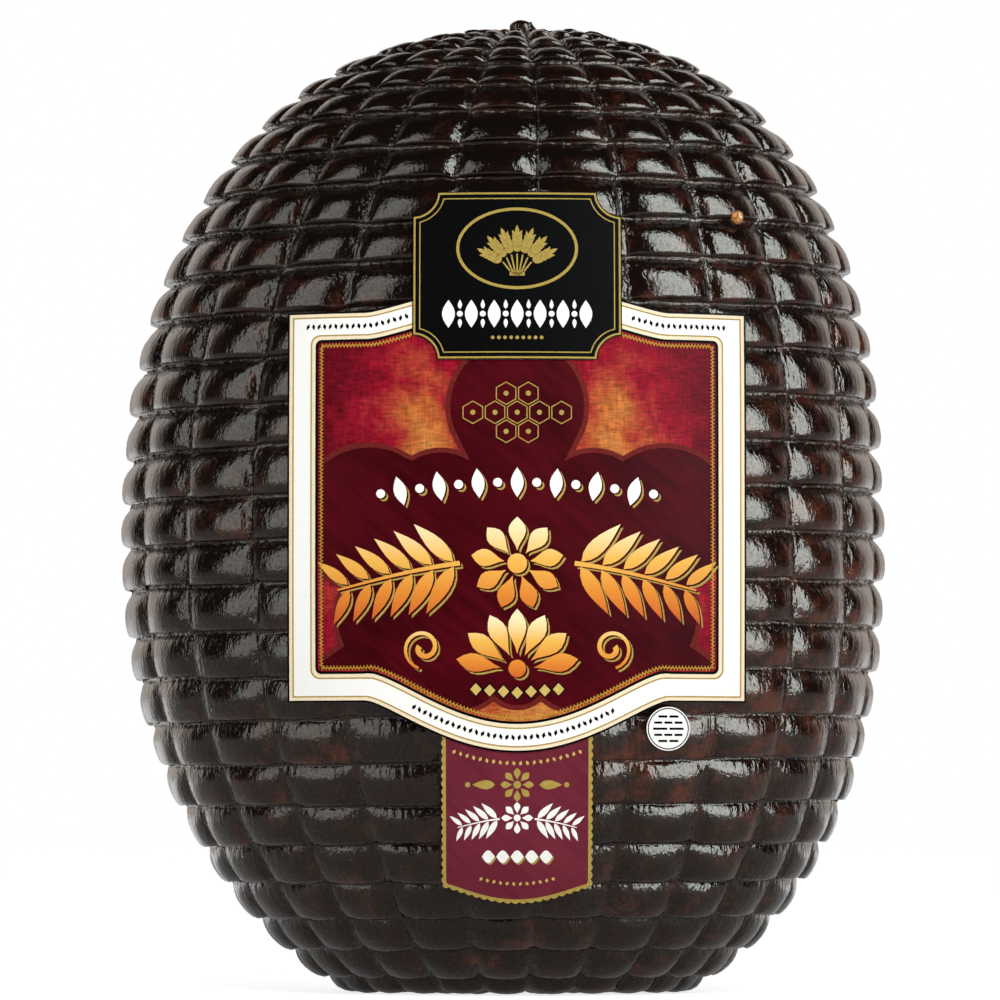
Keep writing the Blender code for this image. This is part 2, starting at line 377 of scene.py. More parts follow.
def quilting_tree():
    """Sinks the crest surface into pillows between the net's lines, with a fold of skin
    standing up on each ring and beside each column."""
    tree = new_tree("quilting", (
        "Depth", "Column Share", "Notch Share", "Sag", "Undercut", "Unevenness", "Crinkle",
        "Lump Depth", "Lump Size", "Ring Fold", "Column Fold", "Fold Change", "Seed"),
        Material="Material")
    given = add(tree, "NodeGroupInput").outputs
    column, row, narrow, fullness = (
        add(tree, "GeometryNodeInputNamedAttribute", label, data_type="FLOAT")
        for label in ("column", "row", "narrow", "fullness"))

    beside = add(tree, "ShaderNodeMath", column, operation="FRACT")
    across = pillow_arch(tree, beside, COLUMN_FEET, 2.6)
    below = add(tree, "ShaderNodeMath", row, operation="FRACT")
    # Down, it rises steadily to its fullest at Sag, goes back a little over its last third,
    # and rounds off sharply above the next ring.
    climb = add(tree, "ShaderNodeMapRange", below, RING_FEET[0], given["Sag"], 1.0, 0.0)
    climb = add(tree, "ShaderNodeMath", climb, 2.8, operation="POWER")
    # The upper pillows stretch down to their rings, and go back less.
    undercut = add(tree, "ShaderNodeMapRange", row, STRETCHED[0], STRETCHED[1], 0.5, 1.0)
    undercut = add(tree, "ShaderNodeMath", undercut, given["Undercut"], operation="MULTIPLY")
    under = add(tree, "ShaderNodeMapRange", below, given["Sag"], RING_FEET[1], 0.0, 1.0)
    under = add(tree, "ShaderNodeMath", under, 2.0, operation="POWER")
    under = add(tree, "ShaderNodeMath", under, undercut, operation="MULTIPLY")
    ledge = add(tree, "ShaderNodeMapRange", below, LEDGE, RING_FEET[1], 0.0, 1.0)
    ledge = add(tree, "ShaderNodeMath", ledge, LEDGE_POWER, operation="POWER")
    left = add(tree, "ShaderNodeMath", 1.0, undercut, operation="SUBTRACT")
    ledge = add(tree, "ShaderNodeMath", ledge, left, operation="MULTIPLY")
    down = 1.0
    for lost in (climb, under, ledge):
        down = add(tree, "ShaderNodeMath", down, lost, operation="SUBTRACT")
    off_nub = add(tree, "ShaderNodeMath", row, -0.001, operation="GREATER_THAN")
    down = add(tree, "ShaderNodeMath", down, off_nub, operation="MULTIPLY")

    cell = add(tree, "ShaderNodeCombineXYZ",
               add(tree, "ShaderNodeMath", column, operation="FLOOR"),
               add(tree, "ShaderNodeMath", row, operation="FLOOR"), given["Seed"])
    chance = add(tree, "ShaderNodeTexWhiteNoise", cell, noise_dimensions="3D")
    swell = add(tree, "ShaderNodeMath", 1.0, given["Unevenness"], operation="SUBTRACT")
    swell = add(tree, "ShaderNodeMapRange", chance, 0.0, 1.0, swell, 1.0)

    # Across, a pillow is a low arch of Column Share, with a narrow notch at its ends.
    side = add(tree, "ShaderNodeMapRange", beside, COLUMN_FEET[0], COLUMN_FEET[1], -1.0, 1.0)
    square = add(tree, "ShaderNodeMath", side, 2.0, operation="POWER")
    notch = add(tree, "ShaderNodeMapRange", across, 0.0, 0.62, given["Notch Share"], 0.0)
    gap = add(tree, "ShaderNodeMath", square, given["Column Share"], notch,
              operation="MULTIPLY_ADD")
    gap = add(tree, "ShaderNodeMath", gap, narrow, operation="MULTIPLY")
    crown = add(tree, "ShaderNodeMath", swell, gap, operation="SUBTRACT")
    crown = add(tree, "ShaderNodeMath", crown, down, operation="MULTIPLY")
    hollow = add(tree, "ShaderNodeMath", 1.0, crown, operation="SUBTRACT")
    depth = add(tree, "ShaderNodeMath", given["Depth"], fullness, operation="MULTIPLY")
    sink = add(tree, "ShaderNodeMath", hollow, depth, operation="MULTIPLY")

    scale = add(tree, "ShaderNodeMath", 1.0, given["Lump Size"], operation="DIVIDE")
    lumps = add(tree, "ShaderNodeTexNoise", sockets={"Scale": scale, "Detail": 2.0})
    unrest = add(tree, "ShaderNodeMapRange", narrow, 0.0, 1.0, 4.0, 1.0)
    for share in (unrest, fullness):
        lumps = add(tree, "ShaderNodeMath", lumps, share, operation="MULTIPLY")
    sink = add(tree, "ShaderNodeMath", lumps, given["Lump Depth"], sink, operation="MULTIPLY_ADD")

    change = add(tree, "ShaderNodeTexNoise", sockets={"Scale": given["Fold Change"], "Detail": 1.0})
    change = add(tree, "ShaderNodeMapRange", change, 0.3, 0.65, 0.15, 1.0)
    nearest = add(tree, "ShaderNodeMath", row, operation="ROUND")
    from_ring = add(tree, "ShaderNodeMath", row, nearest, operation="SUBTRACT")
    ring_fold = fold_ridge(tree, from_ring, 0.0, FOLD_REACH[1])
    column_fold = fold_ridge(tree, beside, COLUMN_FOLD, FOLD_REACH[0])
    under_knob = add(tree, "ShaderNodeMath", row, 0.5, operation="GREATER_THAN")
    # This mask, stored as 'fold', is where the glaze is made rougher and painted pale as a painted
    # highlight.
    fold = add(tree, "ShaderNodeMath", column_fold, 0.6, operation="MULTIPLY")
    fold = add(tree, "ShaderNodeMath", ring_fold, fold, operation="MAXIMUM")
    for share in (0.3, change, under_knob):
        fold = add(tree, "ShaderNodeMath", fold, share, operation="MULTIPLY")
    ring_rise = add(tree, "ShaderNodeMath", ring_fold, given["Ring Fold"], operation="MULTIPLY")
    column_rise = column_fold
    for share in (given["Column Fold"], narrow):
        column_rise = add(tree, "ShaderNodeMath", column_rise, share, operation="MULTIPLY")
    rise = add(tree, "ShaderNodeMath", ring_rise, column_rise, operation="MAXIMUM")
    for share in (change, under_knob):
        rise = add(tree, "ShaderNodeMath", rise, share, operation="MULTIPLY")
    sink = add(tree, "ShaderNodeMath", sink, rise, operation="SUBTRACT")
    sink = add(tree, "ShaderNodeMath", sink, 0.0, operation="MAXIMUM")

    outward = add(tree, "GeometryNodeInputNormal")
    kept = given["Geometry"]
    crown = add(tree, "ShaderNodeMath", across, down, operation="MULTIPLY")
    for name, value, kind in (("outward", outward, "FLOAT_VECTOR"), ("crown", crown, "FLOAT"),
                              ("chance", chance, "FLOAT"), ("fold", fold, "FLOAT")):
        kept = add(tree, "GeometryNodeStoreNamedAttribute", kept, None, name, value,
                   data_type=kind)
    # In the upper half the net pulls the skin in nearly level, so that each pillow hangs a
    # little over its ring.
    parts = add(tree, "ShaderNodeSeparateXYZ", outward).outputs
    slope = add(tree, "ShaderNodeMapRange", narrow, 0.0, 1.0, 1.0, PRESSED_LEVEL)
    slope = add(tree, "ShaderNodeMath", parts["Z"], slope, operation="MULTIPLY")
    slope = add(tree, "ShaderNodeMath", parts["Z"], slope, operation="MINIMUM")
    pull = add(tree, "ShaderNodeCombineXYZ", parts["X"], parts["Y"], slope)
    pull = add(tree, "ShaderNodeVectorMath", pull, operation="NORMALIZE")
    inset = add(tree, "ShaderNodeMath", sink, -1.0, operation="MULTIPLY")
    inset = add(tree, "ShaderNodeVectorMath", pull, operation="SCALE", sockets={"Scale": inset})
    # The skin crinkles beside the grooves, by a few tenths of a millimetre.
    crinkles = add(tree, "ShaderNodeTexNoise", sockets={"Scale": 330.0, "Detail": 0.0})
    crinkles = add(tree, "ShaderNodeVectorMath", crinkles.outputs["Color"], (0.5, 0.5, 0.5),
                   operation="SUBTRACT")
    reach = add(tree, "ShaderNodeMapRange", crown, 0.0, 0.8, given["Crinkle"], 0.0)
    reach = add(tree, "ShaderNodeMath", reach, fullness, operation="MULTIPLY")
    crinkles = add(tree, "ShaderNodeVectorMath", crinkles, operation="SCALE",
                   sockets={"Scale": reach})
    inset = add(tree, "ShaderNodeVectorMath", inset, crinkles, operation="ADD")
    moved = add(tree, "GeometryNodeSetPosition", kept, sockets={"Offset": inset})
    smooth = add(tree, "GeometryNodeSetShadeSmooth", moved)
    solid = add(tree, "GeometryNodeRealizeInstances", smooth)
    return close_tree(tree, solid, given["Material"])


def groove_marks_tree():
    """Lays small rounded folds at uneven steps along the net's lines."""
    tree = new_tree("groove marks", (
        "Spacing", "Length", "Width", "Thickness", "Lift", "Aside", "Stray", "Twist",
        "First Row", "Last Row", "Share", "Highlight Paleness"),
        Line="String", Seed="Int", Material="Material")
    given = add(tree, "NodeGroupInput").outputs
    line = add(tree, "GeometryNodeInputNamedAttribute", given["Line"], data_type="FLOAT")
    row = add(tree, "GeometryNodeInputNamedAttribute", "row", data_type="FLOAT")
    outward = add(tree, "GeometryNodeInputNamedAttribute", "outward", data_type="FLOAT_VECTOR")
    nearest = add(tree, "ShaderNodeMath", line, operation="ROUND")
    on_line = add(tree, "ShaderNodeMath", line, nearest, 0.004, operation="COMPARE")
    below_top = add(tree, "ShaderNodeMath", row, given["First Row"], operation="GREATER_THAN")
    above_base = add(tree, "ShaderNodeMath", row, given["Last Row"], operation="LESS_THAN")
    pick = below_top
    for more in (above_base, on_line):
        pick = add(tree, "ShaderNodeMath", pick, more, operation="MULTIPLY")
    lines = add(tree, "GeometryNodeMeshToCurve", given["Geometry"], pick)
    points = add(tree, "GeometryNodeResampleCurve", lines, mode="LENGTH",
                 sockets={"Length": given["Spacing"]})

    def scatter(low, high, more):
        seed = add(tree, "FunctionNodeIntegerMath", given["Seed"], more, operation="ADD")
        drawn = add(tree, "FunctionNodeRandomValue", data_type="FLOAT",
                    sockets={2: low, 3: high, "Seed": seed})
        return drawn.outputs[1]

    along = add(tree, "GeometryNodeInputTangent")
    sideways = add(tree, "ShaderNodeVectorMath", outward, along, operation="CROSS_PRODUCT")
    nearer = add(tree, "ShaderNodeMath", given["Aside"], given["Stray"], operation="SUBTRACT")
    farther = add(tree, "ShaderNodeMath", given["Aside"], given["Stray"], operation="ADD")
    aside = add(tree, "ShaderNodeVectorMath", sideways, operation="SCALE",
                sockets={"Scale": scatter(nearer, farther, 0)})
    back = add(tree, "ShaderNodeMath", given["Spacing"], -0.4, operation="MULTIPLY")
    ahead = add(tree, "ShaderNodeMath", given["Spacing"], 0.4, operation="MULTIPLY")
    onward = add(tree, "ShaderNodeVectorMath", along, operation="SCALE",
                 sockets={"Scale": scatter(back, ahead, 1)})
    lift = add(tree, "ShaderNodeVectorMath", outward, operation="SCALE",
               sockets={"Scale": given["Lift"]})
    offset = aside
    for more in (lift, onward):
        offset = add(tree, "ShaderNodeVectorMath", offset, more, operation="ADD")
    points = add(tree, "GeometryNodeSetPosition", points, sockets={"Offset": offset})

    backward = add(tree, "ShaderNodeMath", given["Twist"], -1.0, operation="MULTIPLY")
    turn = laid_along(tree, along, outward, scatter(backward, given["Twist"], 2))
    size = add(tree, "ShaderNodeCombineXYZ", given["Length"], given["Width"], given["Thickness"])
    size = add(tree, "ShaderNodeVectorMath", size, operation="SCALE",
               sockets={"Scale": scatter(0.22, 0.6, 3)})
    gathers = add(tree, "ShaderNodeTexNoise", sockets={"Scale": 90.0, "Detail": 1.0})
    unlikely = add(tree, "ShaderNodeMath", scatter(-0.3, 0.3, 4), gathers, operation="ADD")
    here = add(tree, "ShaderNodeMath", unlikely, given["Share"], operation="LESS_THAN")
    fold = add(tree, "GeometryNodeMeshIcoSphere", 1.0, 1)
    folds = add(tree, "GeometryNodeInstanceOnPoints", points, here,
                sockets={"Instance": fold, "Rotation": turn, "Scale": size})
    solid = add(tree, "GeometryNodeRealizeInstances", folds)
    # The paleness input is stored as 'fold': how pale these marks are painted, as a painted highlight.
    pale = add(tree, "GeometryNodeStoreNamedAttribute", solid, None, "fold", given["Highlight Paleness"])
    smooth = add(tree, "GeometryNodeSetShadeSmooth", pale)
    return close_tree(tree, smooth, given["Material"])


# ---------------------------------------------------------------- shapes to print

def front_point(across, height, lift):
    """The point this far across and up on the ham's front, lifted off the pillows' crests."""
    radius = np.interp(height, HEIGHT[::-1], RADIUS[::-1]) + lift
    aside = across - belly(height)
    return across, -DEPTH_RATIO * math.sqrt(radius ** 2 - aside ** 2), height


def front_normal(across, height):
    """The way the ham's front faces at a place."""
    near = 0.0005
    sideways, upward = (np.subtract(front_point(across + a, height + b, 0.0),
                                    front_point(across - a, height - b, 0.0))
                        for a, b in ((near, 0.0), (0.0, near)))
    normal = np.cross(sideways, upward)
    return normal / np.linalg.norm(normal)


def bend(verts):
    """Lays flat points (across, up, lift) on the front, which is faceted along the cuts so
    that every layer of print follows the same facets."""
    known = {}
    for vert in verts:
        across, up, lift = vert.co
        first = [math.floor(value / cut + 1e-4) for value, cut in zip((across, up), CUT)]
        shares = [value / cut - low for value, cut, low in zip((across, up), CUT, first)]
        depth = 0.0
        for a in (0, 1):
            for b in (0, 1):
                node = (first[0] + a, first[1] + b, lift)
                if node not in known:
                    known[node] = front_point(node[0] * CUT[0], node[1] * CUT[1], lift)[1]
                weight = (shares[0] if a else 1 - shares[0]) * (shares[1] if b else 1 - shares[1])
                depth += weight * known[node]
        vert.co = (across, depth, up)


def ogee(across, half_width):
    """The soft swell of the labels' top and bottom edges: 1 in the middle, 0 at half_width."""
    share = min(abs(across) / half_width, 1.0)
    return (1 - share ** 2) ** OGEE_POWER


def main_edges(across):
    """Heights of the main label's bottom and top edges."""
    swell = ogee(across, OGEE_HALF_WIDTH)
    return MAIN_BOTTOM - MAIN_DROP * swell, MAIN_TOP + MAIN_RISE * swell


def tail_edges(across):
    """Heights of the tail's bottom and top edges."""
    return TAIL_BOTTOM - TAIL_DROP * ogee(across, TAIL_HALF_WIDTH), TAIL_TOP


def edge_at(edges, side, across, inset):
    """Height of one edge (0 bottom, 1 top), moved in by inset square to its slope."""
    near = 0.0002
    slope = (edges(across + near)[side] - edges(across - near)[side]) / (2 * near)
    return edges(across)[side] + (1 - 2 * side) * inset * math.hypot(1, slope)


def framed(edges, half_width, inset, corner=0.0):
    """A label's outline moved in by inset, with rounded corners, clockwise from top right."""
    half = half_width - inset
    count = int(2 * (half - corner) / EDGE_STEP)
    line = np.linspace(corner - half, half - corner, count)[1:-1]
    quarter = np.linspace(0, math.pi / 2, 6) if corner else np.zeros(1)
    outline = []
    for place, (sign, side) in enumerate(((1, 1), (1, 0), (-1, 0), (-1, 1))):
        x = sign * (half - corner)
        z = edge_at(edges, side, x, inset) + (1 - 2 * side) * corner
        for turn in math.pi / 2 * (1 - place) - quarter:
            outline.append((x + corner * math.cos(turn), z + corner * math.sin(turn)))
        if place % 2:
            run = line if side else line[::-1]
            outline += [(x, edge_at(edges, side, x, inset)) for x in run]
    return outline


def scalloped(outline, pitch, depth, steps=6):
    """A closed outline with small round scallops standing out along it."""
    ring = np.array([*outline, outline[0]])
    reach = np.concatenate([[0.0], np.cumsum(np.linalg.norm(np.diff(ring, axis=0), axis=1))])
    count = round(reach[-1] / pitch) * steps
    along = np.linspace(0, reach[-1], count, endpoint=False)
    points = np.stack([np.interp(along, reach, ring[:, i]) for i in (0, 1)], axis=1)
    way = np.roll(points, -1, axis=0) - np.roll(points, 1, axis=0)
    way /= np.linalg.norm(way, axis=1)[:, None]
    bulge = depth * np.abs(np.sin(math.pi * np.arange(count) / steps))[:, None]
    return [tuple(p) for p in points + np.stack([-way[:, 1], way[:, 0]], axis=1) * bulge]


def plaque_outline(inset, steps=9):
    """The plaque's outline moved in by inset: a rectangle with its corners scooped out."""
    radius = PLAQUE_SCOOP + inset
    outline = []
    corners = ((PLAQUE_HALF_WIDTH, PLAQUE_TOP), (PLAQUE_HALF_WIDTH, PLAQUE_BOTTOM),
               (-PLAQUE_HALF_WIDTH, PLAQUE_BOTTOM), (-PLAQUE_HALF_WIDTH, PLAQUE_TOP))
    for place, (x, z) in enumerate(corners):
        first = math.pi - place * math.pi / 2
        reach = math.asin(inset / radius)
        for turn in np.linspace(first + reach, first + math.pi / 2 - reach, steps):
            outline.append((x + radius * math.cos(turn), z + radius * math.sin(turn)))
    return outline


def moved(outline, x, z, turn=0.0):
    """An outline turned about its own zero and put at a place."""
    c, s = math.cos(turn), math.sin(turn)
    return [(x + c * a - s * b, z + s * a + c * b) for a, b in outline]


def disc(x, z, radius, sides=20, rise=None):
    """A round outline, or an oval one where rise gives its other radius."""
    rise = rise or radius
    turns = [2 * math.pi * i / sides for i in range(sides)]
    return [(x + radius * math.cos(t), z + rise * math.sin(t)) for t in turns]


def leaf(x, z, length, width, turn, steps=7, fullness=0.75):
    """A pointed oval that starts at a place and runs off at an angle."""
    shares = [i / steps for i in range(steps + 1)]
    upper = [(s * length, width / 2 * math.sin(math.pi * s ** fullness)) for s in shares]
    lower = [(a, -b) for a, b in upper[-2:0:-1]]
    return moved(upper + lower, x, z, turn)


def stroke(route, start_width, end_width):
    """The outline of a tapering line along a route of points."""
    route = np.array(route)
    way = np.gradient(route, axis=0)
    way /= np.linalg.norm(way, axis=1)[:, None]
    half = np.linspace(start_width, end_width, len(route))[:, None] / 2
    off = np.stack([-way[:, 1], way[:, 0]], axis=1) * half
    return [tuple(p) for p in [*(route + off), *(route - off)[::-1]]]


def rays(x, z, turns, start, length, width):
    """Petals that point away from a place, from start outwards."""
    return [[leaf(x + start * math.cos(t), z + start * math.sin(t), length, width, t,
                  fullness=1.4)] for t in turns]


def rosette(x, z, petals, length, width, hub):
    """Petals around a hub, with a gap between."""
    turns = [math.pi / 2 + 2 * math.pi * i / petals for i in range(petals)]
    return rays(x, z, turns, 1.3 * hub, length, width) + [[disc(x, z, hub)]]


def garland(x, z, half_width, rise, leaf_length, leaf_width, pairs, gap):
    """Two sprigs of leaves that run out from the middle on a bowed stem."""
    shapes = []
    for side in (-1, 1):
        def stem(share, side=side):
            along = gap + share * (half_width - gap)
            return x + side * along, z + rise * math.cos(math.pi / 2 * along / half_width)
        shapes.append([stroke([stem(s) for s in np.linspace(0, 0.97, 16)],
                              0.3 * leaf_width, 0.12 * leaf_width)])
        for place in range(pairs):
            share = (place + 0.3) / pairs
            here, ahead = stem(share), stem(share + 0.02)
            way = math.atan2(ahead[1] - here[1], ahead[0] - here[0])
            size = 1 - 0.35 * share
            for lean in (-0.9, 0.9):
                off = 0.16 * leaf_width * (1 if lean > 0 else -1)
                start = (here[0] - off * math.sin(way), here[1] + off * math.cos(way))
                shapes.append([leaf(*start, leaf_length * size, leaf_width * size, way + lean)])
    return shapes


def shifted(shapes, x, z):
    """Copies of shapes set off to a side."""
    return [[[(a + x, b + z) for a, b in ring] for ring in rings] for rings in shapes]


def foil_outline(x, z, discs, fence):
    """The outline of overlapping discs around a middle, kept inside a fence."""
    outline = []
    for turn in np.linspace(0, 2 * math.pi, 480, endpoint=False):
        reach = 0.0
        for disc_x, disc_z, radius in discs:
            away = math.hypot(disc_x - x, disc_z - z)
            aside = turn - math.atan2(disc_z - z, disc_x - x)
            under = radius ** 2 - (away * math.sin(aside)) ** 2
            if under > 0:
                reach = max(reach, away * math.cos(aside) + math.sqrt(under))
        point = fence(x + reach * math.cos(turn), z + reach * math.sin(turn))
        if not outline or math.dist(point, outline[-1]) > 0.00005:
            outline.append(point)
    return outline


# ---------------------------------------------------------------- printed pieces

def film_face(layer):
    """Lift of a label's printed face, which its inks stand on."""
    return FIRST_LIFT + layer * (FILM + LAYER_GAP) + FILM - (INK_LAYERS + 0.5) * INK


def lay_shapes(shapes, low, high, slot):
    """Closed flat shapes of one ink, cut fine enough to bend, and bent round the ham."""
    work = bmesh.new()
    for rings in shapes:
        flat = [[Vector((x, z, 0.0)) for x, z in ring] for ring in rings]
        corners = [corner for ring in flat for corner in ring]
        front = [work.verts.new((c.x, c.y, high)) for c in corners]
        back = [work.verts.new((c.x, c.y, low)) for c in corners]
        for a, b, c in tessellate_polygon(flat):
            work.faces.new((front[a], front[b], front[c]))
            work.faces.new((back[c], back[b], back[a]))
        start = 0
        for ring in flat:
            for i in range(len(ring)):
                a, b = start + i, start + (i + 1) % len(ring)
                work.faces.new((front[a], front[b], back[b], back[a]))
            start += len(ring)
    places = np.array([vert.co for vert in work.verts])
    for axis, cut in enumerate(CUT):
        normal = Vector((1 - axis, axis, 0))
        first, last = places[:, axis].min(), places[:, axis].max()
        for place in np.arange(math.floor(first / cut) + 1, math.ceil(last / cut)) * cut:
            bmesh.ops.bisect_plane(work, geom=[*work.verts, *work.edges, *work.faces], dist=1e-6,
                                   plane_co=normal * place, plane_no=normal)
    bend(work.verts)
    bmesh.ops.recalc_face_normals(work, faces=work.faces)
    for face in work.faces:
        face.material_index = slot
    mesh = bpy.data.meshes.new("shapes")
    work.to_mesh(mesh)
    work.free()
    return mesh


def printed_label(name, layer, film, paper, inks):
    """A film with layers of ink on it, each a material and its shapes, in one piece."""
    face = film_face(layer)
    back = FIRST_LIFT + layer * (FILM + LAYER_GAP)
    whole = bmesh.new()
    materials = [paper]
    sheets = [lay_shapes([[film]], back, face, 0)]
    for level, material, shapes in inks:
        if material not in materials:
            materials.append(material)
        high = face + level * INK
        sheets.append(lay_shapes(shapes, high - 1.3 * INK, high, materials.index(material)))
    for sheet in sheets:
        whole.from_mesh(sheet)
        bpy.data.meshes.remove(sheet)
    mesh = bpy.data.meshes.new(name)
    whole.to_mesh(mesh)
    whole.free()
    for material in materials:
        mesh.materials.append(material)
    mesh.shade_smooth()
    mesh.set_sharp_from_angle(angle=math.radians(40))
    return placed(name, mesh)


def printed_marks_tree():
    """Repeats a small flat mark along a line on a label, turned one way and the other."""
    tree = new_tree("printed marks", ("Spacing", "Length", "Width", "Thickness", "Turn", "Sway"),
                    Sides="Int", Material="Material")
    given = add(tree, "NodeGroupInput").outputs
    outward = add(tree, "GeometryNodeInputNamedAttribute", "outward", data_type="FLOAT_VECTOR")
    line = add(tree, "GeometryNodeMeshToCurve", given["Geometry"])
    points = add(tree, "GeometryNodeResampleCurve", line, mode="LENGTH",
                 sockets={"Length": given["Spacing"]})
    along = add(tree, "GeometryNodeInputTangent")
    place = add(tree, "GeometryNodeInputIndex")
    odd = add(tree, "ShaderNodeMath", place, 2.0, operation="MODULO")
    sign = add(tree, "ShaderNodeMapRange", odd, 0.0, 1.0, -1.0, 1.0)
    sway = add(tree, "ShaderNodeMath", given["Sway"], sign, given["Turn"], operation="MULTIPLY_ADD")
    facing = laid_along(tree, along, outward, sway)
    size = add(tree, "ShaderNodeCombineXYZ", given["Length"], given["Width"], given["Thickness"])
    mark = add(tree, "GeometryNodeMeshCylinder", given["Sides"],
               sockets={"Radius": 0.5, "Depth": 1.0})
    marks = add(tree, "GeometryNodeInstanceOnPoints", points,
                sockets={"Instance": mark, "Rotation": facing, "Scale": size})
    solid = add(tree, "GeometryNodeRealizeInstances", marks)
    return close_tree(tree, solid, given["Material"])


def printed_marks(name, tree, layer, route, closed, **values):
    """Marks repeated along a route of label places, as one piece."""
    lift = film_face(layer) + (INK_LAYERS - 0.5) * INK
    ring = [*route, route[0]] if closed else route
    fine = [ring[0]]
    for here, ahead in zip(ring, ring[1:]):
        steps = math.ceil(math.dist(here, ahead) / EDGE_STEP)
        fine += [tuple(np.add(here, np.subtract(ahead, here) * (i + 1) / steps)) for i in range(steps)]
    route = fine[:-1] if closed else fine
    count = len(route)
    edges = [(i, (i + 1) % count) for i in range(count if closed else count - 1)]
    mesh = bpy.data.meshes.new(name)
    mesh.from_pydata([front_point(x, z, lift) for x, z in route], edges, [])
    outward = mesh.attributes.new("outward", "FLOAT_VECTOR", "POINT")
    outward.data.foreach_set("vector", np.ravel([front_normal(x, z) for x, z in route]))
    settings = {key.replace("_", " ").title(): value for key, value in values.items()}
    return grow(name, mesh, tree, {"Thickness": INK, "Turn": 0.0, "Sway": 0.0, **settings})


# ---------------------------------------------------------------- materials

def surface(name, base, roughness, ior=1.45, specular=0.5):
    """A Principled material with plain values, with its tree, its shader and its place."""
    material = bpy.data.materials.new(name)
    material.use_nodes = True
    tree = material.node_tree
    shader = tree.nodes["Principled BSDF"]
    shader.inputs["Base Color"].default_value = color(base)
    shader.inputs["Roughness"].default_value = roughness
    shader.inputs["IOR"].default_value = ior
    shader.inputs["Specular IOR Level"].default_value = specular
    return material, tree, shader, add(tree, "ShaderNodeTexCoord").outputs["Object"]


def wrinkled(tree, place, *layers, start=None):
    """Chained bumps of noise: each layer is (size in metres, stretch up, height, reach)."""
    normal = start
    for size, stretch, height, reach in layers:
        squeezed = add(tree, "ShaderNodeVectorMath", place, (1.0, 1.0, 1 / stretch),
                       operation="MULTIPLY")
        ripples = add(tree, "ShaderNodeTexNoise", squeezed,
                      sockets={"Scale": 0.7 / size, "Detail": 2.0})
        bump = add(tree, "ShaderNodeBump", reach, height, sockets={"Height": ripples})
        if normal:
            tree.links.new(normal.outputs[0], bump.inputs["Normal"])
        normal = bump
    return normal


